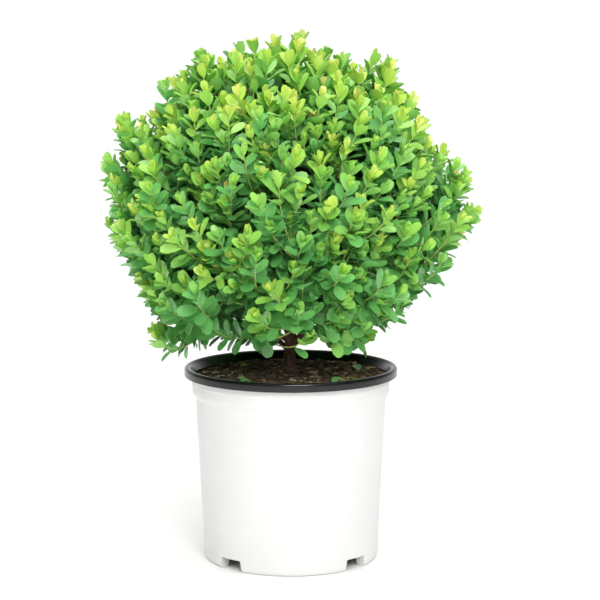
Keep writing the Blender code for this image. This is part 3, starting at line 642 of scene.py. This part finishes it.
# The boughs: eighteen slim woody limbs that leave the trunk at their own heights and fan out.
# Each grows towards the heart of its mass of foliage, bowed a little outwards and sagging.
# A mass has its azimuth and elevation in degrees, its fullness, and its bough's height on the trunk.
CROWN_MIDDLE = np.array((-8, 0, 385)) * MM
CROWN_RADIUS = 184 * MM
CROWN_HEIGHT = 175 * MM
MASS_HEART = 0.60
BOUGH_RADIUS = 3.1 * MM
BOUGH_TIP_RADIUS = 1.9 * MM
BOUGH_STOP = 44 * MM
BOUGH_BOW = 0.10
BOUGH_SAG = 0.05
BOUGH_STEPS = 25
BOUGH_SIDES = 14
BOUGH_PLATES = (7, 0.35, 0.08, 31)
MASSES = (
    ("mass_top", 30, 86, 1.00, 1.00),
    ("mass_upper_front_left", -38, 43, 1.01, 0.86),
    ("mass_upper_front_right", 36, 41, 0.98, 0.70),
    ("mass_upper_right", 105, 40, 0.96, 0.80),
    ("mass_upper_back", 178, 42, 0.98, 0.73),
    ("mass_upper_left", -108, 41, 1.02, 0.76),
    ("mass_front_left", -29, 0, 1.00, 0.56),
    ("mass_front_right", 30, -2, 1.02, 0.44),
    ("mass_right", 88, 3, 1.01, 0.60),
    ("mass_back_right", 147, 0, 0.99, 0.46),
    ("mass_back_left", -152, 1, 1.00, 0.62),
    ("mass_left", -92, 2, 1.00, 0.42),
    ("mass_low_front", 2, -43, 1.00, 0.20),
    ("mass_low_front_right", 61, -40, 0.98, 0.30),
    ("mass_low_back_right", 118, -41, 1.00, 0.24),
    ("mass_low_back_left", -172, -41, 1.00, 0.28),
    ("mass_low_left", -121, -40, 1.00, 0.22),
    ("mass_low_front_left", -60, -41, 1.00, 0.32),
)


def heading(azimuth, elevation):
    """Unit directions at azimuths from the front and elevations, both in degrees."""
    azimuth, elevation = np.radians(azimuth), np.radians(elevation)
    flat = np.cos(elevation)
    return np.stack([np.sin(azimuth) * flat, -np.cos(azimuth) * flat, np.sin(elevation)], axis=-1)


def crown_reach(way):
    """How far the crown's ellipsoid reaches: one over the direction's length measured in its radii."""
    flat = np.hypot(way[..., 0], way[..., 1]) / CROWN_RADIUS
    return 1 / np.hypot(flat, way[..., 2] / CROWN_HEIGHT)


def bend(start, handle, end, share):
    """Points at shares of a quadratic curve from start to end that is pulled towards a handle."""
    start, handle, end = start[..., None, :], handle[..., None, :], end[..., None, :]
    share = np.asarray(share)[..., None]
    return (1 - share) ** 2 * start + 2 * share * (1 - share) * handle + share ** 2 * end


mass_names, mass_azimuth, mass_elevation, fullness, leaves_at = zip(*MASSES)
fullness = np.array(fullness)
mass_ways = heading(mass_azimuth, mass_elevation)
hearts = CROWN_MIDDLE + mass_ways * (crown_reach(mass_ways) * MASS_HEART)[:, None]
bough_feet = trunk_line(leaves_at)
bough_tips = hearts + unit(bough_feet - hearts) * BOUGH_STOP
run = np.linalg.norm(bough_tips - bough_feet, axis=-1, keepdims=True)
bow = unit(mass_ways * (1, 1, 0)) * BOUGH_BOW - UP * BOUGH_SAG
bough_handles = (bough_feet + bough_tips) / 2 + bow * run
bough_feet[0] += UP * GAP
bough_handles[0] = bough_feet[0] + UP * BOUGH_STOP
bough_tips[0] = hearts[0] - UP * BOUGH_STOP
bough_share = np.linspace(0, 1, BOUGH_STEPS)
bough_paths = bend(bough_feet, bough_handles, bough_tips, bough_share)
bough_radii = np.tile(BOUGH_RADIUS + (BOUGH_TIP_RADIUS - BOUGH_RADIUS) * bough_share, (len(MASSES), 1))
bough_relief = bark_relief(len(MASSES), BOUGH_STEPS, BOUGH_SIDES, *BOUGH_PLATES)
bough_tubes = tubes(bough_paths, bough_radii, BOUGH_SIDES, bough_relief)
boughs = add_mesh("boughs_bark", *bough_tubes, bark, smooth_below=60)
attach(boughs, "root")
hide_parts(*[name.replace("mass", "bough") for name in mass_names])

# The woody twigs: each bough goes on as the stem of its mass and divides there into twigs.
# They end evenly over the crown by the golden angle, and keep to their own mass, clear of the limbs.
# A leader, which reaches out of the crown, has its azimuth and elevation in degrees and its reach.
SEED = 41
GOLDEN_ANGLE = math.pi * (3 - math.sqrt(5))
LEADERS = (
    (88, -4, 214 * MM),
    (82, 9, 200 * MM),
    (88, 51, 190 * MM),
    (-80, 60, 184 * MM),
    (-90, 26, 200 * MM),
    (-84, 8, 196 * MM),
    (-78, -45, 204 * MM),
)
TWIG_COUNT = 84
TWIG_SPREAD = (0.97, 1.04)
TWIG_DRIFT = 0.08
TWIG_RISE = 0.45
TWIG_PULL = (0.38, 0.48)
TWIG_START = 0.95
TWIG_STEP_BACK = 0.6
TWIG_RADIUS = 1.5 * MM
TWIG_TIP_RADIUS = 0.9 * MM
TWIG_STEPS = 13
TWIG_SIDES = 7
TWIG_TESTS = 8
BOUGH_TESTS = 5
SPRAY_LEAF = 42 * MM
SPRAY_OPENING = math.radians(32)
SPRAY_BACK = 1 * MM
SPRAY_REACH = SPRAY_LEAF * math.cos(SPRAY_OPENING) - SPRAY_BACK
SPRAY_DRAWS = 13
STEM_START = 3 * MM
STEM_PULL = 0.4
STEM_STEPS = 9
STEM_RADII = (0.95, 0.75)
SHARE_MARGIN = 1.2 * MM
LIMB_CLEARANCE = 1 * MM
LOWEST_LEAF_Z = 211 * MM
TRUNK_SHARES = np.array((0.0, 0.03, 0.07, 0.13, 0.25, 0.45, 0.65, 0.85, 1.0))


def in_share(points, own):
    """True if every point is nearer to its own mass's heart than to another's, and above the pot."""
    others = np.delete(hearts, own, axis=0)
    across = others - hearts[own]
    border = (others + hearts[own]) / 2 - unit(across) * SHARE_MARGIN
    beyond = np.einsum("pmk,mk->pm", points[:, None] - border, across) > 0
    return not beyond.any() and points[:, 2].min() > LOWEST_LEAF_Z


def clears_limbs(points):
    """True if every point is clear of each straight stretch of the trunk and boughs."""
    stretch = limb_ends - limb_starts
    away = points[:, None] - limb_starts
    share = np.clip(np.sum(away * stretch, axis=-1) / np.sum(stretch ** 2, axis=-1), 0, 1)
    near = np.linalg.norm(away - share[..., None] * stretch, axis=-1)
    return bool((near >= limb_radii + LIMB_CLEARANCE).all())


trunk_centres = trunk_line(TRUNK_SHARES)
trunk_widths = TRUNK_RADIUS + (TRUNK_TOP_RADIUS - TRUNK_RADIUS) * TRUNK_SHARES
quarters = bend(bough_feet, bough_handles, bough_tips, np.linspace(0, 1, BOUGH_TESTS))
limb_starts = np.vstack([trunk_centres[:-1], quarters[:, :-1].reshape(-1, 3)])
limb_ends = np.vstack([trunk_centres[1:], quarters[:, 1:].reshape(-1, 3)])
quarter_radii = np.linspace(BOUGH_RADIUS, BOUGH_TIP_RADIUS, BOUGH_TESTS)[:-1]
limb_radii = np.concatenate([trunk_widths[:-1], np.tile(quarter_radii, len(MASSES))])

aims = unit(quarters[:, -1] - quarters[:, -2])
stem_feet = bough_tips + aims * (GAP + STEM_START)
stem_handles = stem_feet + aims * np.linalg.norm(hearts - stem_feet, axis=-1, keepdims=True) * STEM_PULL
stem_paths = bend(stem_feet, stem_handles, hearts, np.linspace(0, 1, STEM_STEPS))
stem_paths = np.concatenate([bough_tips[:, None] + GAP * aims[:, None], stem_paths], axis=1)
stem_middles = bend(stem_feet, stem_handles, hearts, [0.5])[:, 0]
stem_taper = BOUGH_TIP_RADIUS * np.linspace(*STEM_RADII, STEM_STEPS + 1)

draw = random.Random(SEED)
targets = [[] for _ in MASSES]
for k in range(TWIG_COUNT):
    level = 1 - 2 * (k + 0.5) / TWIG_COUNT
    azimuth = k * GOLDEN_ANGLE + draw.uniform(-TWIG_DRIFT, TWIG_DRIFT)
    way = heading(math.degrees(azimuth), math.degrees(math.asin(level)))
    reach = crown_reach(way) * draw.uniform(*TWIG_SPREAD)
    own = int(np.argmin(np.linalg.norm(hearts - CROWN_MIDDLE - way * reach, axis=-1)))
    targets[own].append(CROWN_MIDDLE + way * (reach * fullness[own] - SPRAY_REACH))
for azimuth, elevation, reach in LEADERS:
    way = heading(azimuth, elevation)
    own = int(np.argmin(np.linalg.norm(hearts - CROWN_MIDDLE - way * reach, axis=-1)))
    targets[own].append(CROWN_MIDDLE + way * (reach - SPRAY_REACH))

twig_ends = []
for own, name in enumerate(mass_names):
    draw = random.Random(f"{SEED} {name}")
    for target in targets[own]:
        aside = np.linalg.norm(np.cross(unit(target - hearts[own]), mass_ways[own]))
        foot = stem_middles[own] + (hearts[own] - stem_middles[own]) * (TWIG_START - TWIG_STEP_BACK * aside)
        grows = unit(unit(target - CROWN_MIDDLE) + UP * TWIG_RISE)
        handle = target - grows * np.linalg.norm(target - foot) * draw.uniform(*TWIG_PULL)
        elbow = bend(foot, handle, target, [0.5])
        steps = np.arange(1, TWIG_TESTS + 1)[:, None] / TWIG_TESTS
        tests = np.vstack([foot + (elbow - foot) * steps, elbow + (target - elbow) * steps])
        if in_share(tests, own) and clears_limbs(tests):
            twig_ends.append((foot, handle, target))
            # The solids' leaves on this twig take these draws, so the next twig's pull is theirs too.
            for _ in range(SPRAY_DRAWS):
                draw.random()
twig_ends = np.array(twig_ends)
twig_paths = bend(twig_ends[:, 0], twig_ends[:, 1], twig_ends[:, 2], np.linspace(0, 1, TWIG_STEPS))
twig_taper = np.linspace(TWIG_RADIUS, TWIG_TIP_RADIUS, TWIG_STEPS)

# Two-year wood: thin tan-brown bark, dull and slightly ribbed.
twig_bark = new_material("boxwood_twig_bark", "#6B5338", 0.8)
add_surface(twig_bark, 0.9 * MM, 0.12 * MM, 0.7, 0.9)
add_colours(twig_bark, 6 * MM, ((0.3, "#523C27"), (0.7, "#8A7050")))
for name, paths, taper in (("mass_stems", stem_paths, stem_taper), ("woody_twigs", twig_paths, twig_taper)):
    twig_tubes = tubes(paths, np.tile(taper, (len(paths), 1)), TWIG_SIDES)
    twigs = add_mesh(name, *twig_tubes, twig_bark, smooth_below=70)
    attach(twigs, "root")

# This year's shoots: they leave the woody twigs all along and turn up to the light, thin and green.
# Some fill the crown's inside, and the leaders' shoots stand out of its outline.
# Each kind has its depth, count, turn and drift, and its least and most share of the crown's reach.
LOWEST_WAY = -0.86
LEADER_WIDTH = math.radians(8)
# Lumps: azimuth, elevation and width in degrees, and how far each swells or sinks the outline.
LUMPS = (
    (10, 84, 14, -0.015),
    (-90, 66, 9, -0.09),
    (-90, 50, 9, 0.03),
    (-90, 36, 8, -0.08),
    (96, 62, 9, -0.10),
    (96, 30, 10, -0.08),
    (90, 17, 8, 0.03),
    (90, -18, 10, 0.05),
    (-88, -34, 9, -0.03),
    (20, 30, 8, -0.10),
    (-34, 8, 8, -0.10),
    (-6, 52, 8, -0.08),
    (42, -8, 8, -0.09),
    (168, 24, 9, -0.09),
    (-150, -6, 9, -0.08),
    (130, 50, 9, -0.09),
)
OUTER, INNER, DEEP, LEADER = range(4)
SHOOT_KINDS = (
    (OUTER, 540, 0.0, 0.03, 0.83, 0.98),
    (INNER, 290, 1.7, 0.06, 0.66, 0.86),
    (DEEP, 130, 2.9, 0.10, 0.36, 0.62),
)
SHOOT_OUTWARD = 0.6
SHOOT_UNEVEN = 0.16
SHOOT_BACK = 12 * MM
SHOOT_PULL = 0.5
SHOOT_RISE = 0.95
SHOOT_LENGTH = 58 * MM
SHOOT_STEPS = 8
SHOOT_SIDES = 5
SHOOT_RADIUS = 0.95 * MM
SHOOT_TIP_RADIUS = 0.55 * MM
SKIRT_RADII = np.array((70, 100, 125, 156, 185)) * MM
SKIRT_HEIGHTS = np.array((224, 238, 254, 284, 308)) * MM
SKIRT_RAGGED = 7 * MM
SKIRT_DEPTH = 14 * MM
THIN_BELOW = (236 * MM, 320 * MM)
THIN_KEPT = (0.22, 1.0)
LEADER_SHOOTS = 4
LEADER_DRIFT = 0.035
PROUD_SHARE = 0.18
PROUD_REACH = 0.06
LEADER_SHORT = 6 * MM
LEADER_UNEVEN = 0.93
RIPPLE = 0.045
RIPPLE_SEED = 51
RIPPLES_ROUND = 15
RIPPLES_UP = 6
RIPPLE_SHIFT = 9
BARE_WOOD = 2
dice = np.random.default_rng(SEED)


def even_ways(count, turn, drift):
    """Directions spread evenly: steps down from the top, each turned on by the golden angle."""
    high = 1 - (np.arange(count) + 0.5) / count * (1 - LOWEST_WAY)
    azimuth = np.arange(count) * GOLDEN_ANGLE + turn
    flat = np.sqrt(1 - high ** 2)
    ways = np.stack([flat * np.sin(azimuth), -flat * np.cos(azimuth), high], axis=-1)
    return unit(ways + dice.normal(0, drift, ways.shape))


def outline_reach(ways):
    """The crown's reach with its lumps: slow noise, swells and dips, and the leaders that stand out."""
    azimuth = np.arctan2(ways[:, 0], -ways[:, 1]) / (2 * math.pi)
    height = ways[:, 2] * RIPPLES_UP + RIPPLE_SHIFT
    ripple = value_noise(azimuth * RIPPLES_ROUND, height, RIPPLE_SEED, RIPPLES_ROUND)
    reach = crown_reach(ways) * (1 + RIPPLE * ripple)
    for azimuth, elevation, width, swell in LUMPS:
        angle = np.arccos(np.clip(ways @ heading(azimuth, elevation), -1, 1))
        reach = reach * (1 + swell * np.exp(-(angle / math.radians(width)) ** 2))
    for azimuth, elevation, furthest in LEADERS:
        angle = np.arccos(np.clip(ways @ heading(azimuth, elevation), -1, 1))
        reach = reach + (furthest - reach) * np.exp(-(angle / LEADER_WIDTH) ** 2)
    return reach


def skirt_height(points):
    """The crown's underside: heights on straight lines between given radii, low round the trunk."""
    radius = np.hypot(points[..., 0] - CROWN_MIDDLE[0], points[..., 1] - CROWN_MIDDLE[1])
    return np.interp(radius, SKIRT_RADII, SKIRT_HEIGHTS)


def tips_at(ways, low, high):
    """Where shoots end: between two shares of the crown's reach, and a few of them a little past it."""
    share = dice.uniform(low, high, len(ways))
    share = share + PROUD_REACH * (dice.uniform(0, 1, len(ways)) < PROUD_SHARE)
    return CROWN_MIDDLE + ways * (outline_reach(ways) * share)[:, None]


shoot_ways, shoot_tips, shoot_depth = [], [], []
for depth, count, turn, drift, low, high in SHOOT_KINDS:
    ways = even_ways(count, turn, drift)
    shoot_ways.append(ways)
    shoot_tips.append(tips_at(ways, low, high))
    shoot_depth.append(np.full(count, depth))
for azimuth, elevation, reach in LEADERS:
    ways = unit(heading(azimuth, elevation) + dice.normal(0, LEADER_DRIFT, (LEADER_SHOOTS, 3)))
    shoot_ways.append(ways)
    reaches = (reach - LEADER_SHORT) * dice.uniform(LEADER_UNEVEN, 1, (LEADER_SHOOTS, 1))
    shoot_tips.append(CROWN_MIDDLE + ways * reaches)
    shoot_depth.append(np.full(LEADER_SHOOTS, LEADER))
shoot_ways = np.vstack(shoot_ways)
shoot_tips = np.vstack(shoot_tips)
shoot_depth = np.concatenate(shoot_depth)
kept = shoot_tips[:, 2] > skirt_height(shoot_tips) + dice.normal(0, SKIRT_RAGGED, len(shoot_tips))
thinned = dice.uniform(0, 1, len(kept)) < np.interp(shoot_tips[:, 2], THIN_BELOW, THIN_KEPT)
kept = (kept & thinned) | (shoot_depth == LEADER)
shoot_ways, shoot_tips, shoot_depth = shoot_ways[kept], shoot_tips[kept], shoot_depth[kept]
grows = unit(shoot_ways * SHOOT_OUTWARD + UP * SHOOT_RISE + dice.normal(0, SHOOT_UNEVEN, shoot_ways.shape))
wanted = shoot_tips - grows * SHOOT_LENGTH - shoot_ways * SHOOT_BACK
wood = twig_paths[:, BARE_WOOD:].reshape(-1, 3)
away = np.linalg.norm(wanted[:, None] - wood, axis=-1)
shoot_feet = wood[np.argmin(away, axis=1)]
shoot_run = np.linalg.norm(shoot_tips - shoot_feet, axis=-1, keepdims=True)
shoot_handles = shoot_tips - grows * shoot_run * SHOOT_PULL
shoot_paths = bend(shoot_feet, shoot_handles, shoot_tips, np.linspace(0, 1, SHOOT_STEPS))
shoot_taper = np.linspace(SHOOT_RADIUS, SHOOT_TIP_RADIUS, SHOOT_STEPS)

# Young rind: yellow-green, smooth, with a slight wax.
green_rind = new_material("green_shoot_rind", "#B4C868", 0.5)
add_surface(green_rind, 0.8 * MM, 0.05 * MM, 0.42, 0.58)
shoot_tubes = tubes(shoot_paths, np.tile(shoot_taper, (len(shoot_paths), 1)), SHOOT_SIDES)
shoots = add_mesh("green_shoots", *shoot_tubes, green_rind, smooth_below=80)
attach(shoots, "root")

# The leaves: boxwood's small oval leaves in crossed pairs, leathery, blunt or notched at the tip.
# New ones at the shoots' ends stand up in lime-green cups, and older ones spread and darken.
# The PAIR rows go from a shoot's end pair back to its last, and a few shed leaves lie on the mix.
PAIR_BACK = np.array((0.6, 3.2, 8.5, 16.5, 25.5, 34, 42, 50, 58)) * MM
PAIR_LENGTH = np.array((10.5, 15, 19, 21.5, 22, 22, 21.5, 21, 20)) * MM
PAIR_OPEN = np.radians((12, 21, 33, 43, 50, 56, 60, 64, 66))
PAIR_LIGHT = np.array((0.0, 0.05, 0.1, 0.2, 0.3, 0.35, 0.4, 0.4, 0.4))
PAIR_FOLD = np.array((0.5, 0.46, 0.40, 0.34, 0.28, 0.24, 0.22, 0.2, 0.2))
PAIR_RATIO = np.array((0.48, 0.50, 0.53, 0.55, 0.57, 0.58, 0.58, 0.58, 0.58))
LEAF_THICKNESS = 0.022
LEAF_WAX = 0.3
WAX_ROUGHNESS = 0.3
SHOOT_MARGIN = 1.04
LOWEST_PAIR = 0.05
AROUND_UNEVEN = 0.16
OPEN_UNEVEN = 0.15
FACING_UNEVEN = 0.13
LENGTH_UNEVEN = 0.09
SHOOT_SIZES = (0.86, 1.08)
WIDTH_UNEVEN = 0.07
FOLD_UNEVEN = 0.06
CURL = 0.02
CURL_UNEVEN = 0.07
CURL_BACK = 0.12
LIGHT_UP = 0.9
LIGHT_OUT = 0.4
VIGOUR = (0.30, 0.44, 0.16)
VIGOUR_SCORE = 1.25
PAIR_SCORE = 0.165
SCORE_UNEVEN = 0.05
SCORES = np.array((-0.30, 0.02, 0.26, 0.50, 0.78))
# Painted shade: leaves on inner and deep shoots are dealt darker tints for the dim inside of the crown.
INNER_DARKER = 2
DEEP_DARKER = 4
GOLD_SHARE = 0.03
GOLD_PAIRS = 2
LEAF_HANG = 0.45
TRUNK_CLEARANCE = 15 * MM
FRONT_GAP = (-3 * MM, 12 * MM, 262 * MM)
TINTS = (
    ("leaves_lime_pale", "#E2EC7C", 0.42),
    ("leaves_lime", "#C4E662", 0.40),
    ("leaves_bright", "#A6DE63", 0.38),
    ("leaves_young", "#94D166", 0.36),
    ("leaves_mature", "#78C26A", 0.33),
    ("leaves_deep", "#65AC5C", 0.32),
    # Painted shade: a dull dark green, dealt only to the leaves of inner and deep shoots.
    ("leaves_shade", "#578A4C", 0.38),
    ("leaves_gold", "#E8DC84", 0.45),
)
YOUNG, AGED, PAINTED_SHADE, GOLDEN = 3, 5, 6, 7
FALLEN = ((-62, -70, 8), (-40, -62, 150), (44, -66, 70), (-12, 76, 20), (74, 10, 100))
FALLEN_LIFT = 1.6 * MM
FALLEN_LENGTH = 19 * MM
RING_AT = np.array((0.10, 0.30, 0.56, 0.80, 0.97))
RING_WIDTH = np.array((0.13, 0.66, 1.0, 0.90, 0.46))
RING_THICK = np.array((0.0, 0.25, 0.0, 1.0))
TIP_AT = 0.965
TIP_CURL = 0.93
FALLEN_RISE = 0.12
FALLEN_RATIO = 0.5
FALLEN_FOLD = 0.25
FALLEN_CURL = 0.08

pairs = len(PAIR_BACK)
count = len(shoot_paths)
back_share = 1 - PAIR_BACK[None] / (SHOOT_MARGIN * shoot_run)
there = back_share > LOWEST_PAIR
nodes = bend(shoot_feet, shoot_handles, shoot_tips, np.clip(back_share, 0, 1))
along, side, other = (axes[:, ::-1] for axes in square_frames(nodes[:, ::-1]))
quarter = dice.uniform(0, ANY_TURN, (count, 1)) + np.arange(pairs) * math.pi / 2
around = quarter[..., None] + np.array((0, math.pi)) + dice.normal(0, AROUND_UNEVEN, (count, pairs, 2))
opening = PAIR_OPEN[None, :, None] + dice.normal(0, OPEN_UNEVEN, (count, pairs, 2))
radial = np.cos(around)[..., None] * side[:, :, None] + np.sin(around)[..., None] * other[:, :, None]
stem = along[:, :, None]
leaf_way = np.cos(opening)[..., None] * stem + np.sin(opening)[..., None] * radial
facing = np.sin(opening)[..., None] * stem - np.cos(opening)[..., None] * radial
light = unit(LIGHT_UP * UP + LIGHT_OUT * shoot_ways)[:, None, None]
facing = facing + PAIR_LIGHT[None, :, None, None] * light + dice.normal(0, FACING_UNEVEN, facing.shape)
facing = unit(facing - leaf_way * np.sum(facing * leaf_way, axis=-1, keepdims=True))
length = PAIR_LENGTH[None, :, None] * dice.normal(1, LENGTH_UNEVEN, (count, pairs, 2))
length = length * dice.uniform(*SHOOT_SIZES, (count, 1, 1))
width = length * PAIR_RATIO[None, :, None] * dice.normal(1, WIDTH_UNEVEN, length.shape)
fold = PAIR_FOLD[None, :, None] + dice.normal(0, FOLD_UNEVEN, length.shape)
curl = dice.normal(CURL, CURL_UNEVEN, length.shape) - CURL_BACK * PAIR_LIGHT[None, :, None]
places = np.broadcast_to(nodes[:, :, None], leaf_way.shape)

least, luck, by_height = VIGOUR
vigour = np.clip(least + luck * dice.uniform(0, 1, count) + by_height * shoot_ways[:, 2], 0, 1)
rank = np.arange(pairs)[None]
score = vigour[:, None] * VIGOUR_SCORE - rank * PAIR_SCORE + dice.normal(0, SCORE_UNEVEN, (count, pairs))
tint = AGED - np.searchsorted(SCORES, score)
# Painted shade: inner shoots' leaves go two tints darker and deep shoots' leaves four, down to the shade
# green, on top of their darkening with age.
tint = np.where(shoot_depth[:, None] == INNER, np.clip(tint + INNER_DARKER, YOUNG, PAINTED_SHADE), tint)
tint = np.where(shoot_depth[:, None] == DEEP, np.clip(tint + DEEP_DARKER, AGED, PAINTED_SHADE), tint)
tint = np.where((dice.uniform(0, 1, count) < GOLD_SHARE)[:, None] & (rank < GOLD_PAIRS), GOLDEN, tint)
tint = np.broadcast_to(tint[..., None], length.shape)

middle = places + leaf_way * length[..., None] * 0.5
above_pot = middle[..., 2] - LEAF_HANG * length > LOWEST_LEAF_Z
on_leader = (shoot_depth == LEADER)[:, None, None]
above_pot = above_pot & (on_leader | (middle[..., 2] > skirt_height(middle) - SKIRT_DEPTH))
stem_middle = trunk_line(np.clip((middle[..., 2] - SOIL_TOP_Z) / TRUNK_LENGTH, 0, 1))
off_trunk = np.linalg.norm((middle - stem_middle)[..., :2], axis=-1) > TRUNK_CLEARANCE
off_trunk = off_trunk | (middle[..., 2] > SOIL_TOP_Z + TRUNK_LENGTH)
gap_x, gap_half, gap_top = FRONT_GAP
before_trunk = (middle[..., 1] < 0) & (middle[..., 2] < gap_top)
before_trunk = before_trunk & (np.abs(middle[..., 0] - gap_x) < gap_half)
grown = there[..., None] & above_pot & off_trunk & ~before_trunk


def leaf_points(place, way, face, length, width, fold, curl):
    """Closed blades: five sections from stalk to tip, each with two rims, a midrib and an underside.

    The half width follows the oval, the rims rise with the fold, and the blade bends with the curl.
    """
    across = np.cross(way, face)
    ring = RING_WIDTH[None] / 2
    zero = np.zeros((len(length), len(RING_AT)))
    x = np.stack([-ring + zero, zero, ring + zero, zero], axis=-1) * width[:, None, None]
    y = np.broadcast_to(RING_AT[None, :, None], x.shape) * length[:, None, None]
    lift = fold[:, None, None] * np.abs(x) + curl[:, None, None] * y ** 2 / length[:, None, None]
    thick = RING_THICK * LEAF_THICKNESS * length[:, None, None]
    rings = np.stack([x, y, lift - thick], axis=-1).reshape(len(length), -1, 3)
    root = np.zeros((len(length), 1, 3))
    tip_lift = curl * TIP_CURL * length - LEAF_THICKNESS / 2 * length
    tip = np.stack([0 * length, TIP_AT * length, tip_lift], axis=-1)
    local = np.concatenate([rings, root, tip[:, None]], axis=1)
    axes = np.stack([across, way, face], axis=1)
    return np.einsum("nkj,nji->nki", local, axes) + place[:, None]


leaf_rows = grid_faces(len(RING_AT), len(RING_THICK))[:, ::-1]
leaf_ends = end_fans(len(RING_AT), len(RING_THICK))[:, ::-1]
fallen_at = np.array([(x, y, 0) for x, y, turn in FALLEN]) * MM
fallen_at[:, 2] = soil_height(fallen_at[:, 0], fallen_at[:, 1]) + FALLEN_LIFT
fallen_turn = np.radians([turn for x, y, turn in FALLEN])
fallen_flat = np.stack([np.cos(fallen_turn), np.sin(fallen_turn), 0 * fallen_turn], axis=-1)
fallen_way = unit(fallen_flat + UP * FALLEN_RISE)
fallen_face = unit(UP - fallen_way * fallen_way[:, 2:])
fallen_sizes = np.array((FALLEN_LENGTH, FALLEN_LENGTH * FALLEN_RATIO, FALLEN_FOLD, FALLEN_CURL))
fallen = leaf_points(fallen_at, fallen_way, fallen_face, *np.tile(fallen_sizes[:, None], len(FALLEN)))
for number, (name, colour, roughness) in enumerate(TINTS):
    chosen = grown & (tint == number)
    blades = leaf_points(places[chosen], leaf_way[chosen], facing[chosen], length[chosen], width[chosen],
                         fold[chosen], curl[chosen])
    if name == "leaves_mature":
        blades = np.concatenate([blades, fallen])
    first = blades.shape[1] * np.arange(len(blades))[:, None, None]
    # Waxy leaf skin: a soft gloss that breaks up over faint veins, one plain green to each spray.
    leather = new_material(name.replace("leaves", "boxwood_leaf"), colour, roughness,
                           Coat_Weight=LEAF_WAX, Coat_Roughness=WAX_ROUGHNESS)
    add_surface(leather, 2.5 * MM, 0.08 * MM, roughness - 0.05, roughness + 0.08)
    leaves = add_mesh(name, blades.reshape(-1, 3), (leaf_rows + first).reshape(-1, 4),
                      (leaf_ends + first).reshape(-1, 3), leather, smooth_below=75)
    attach(leaves, "root")
    if name == "leaves_mature":
        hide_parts(*mass_names)
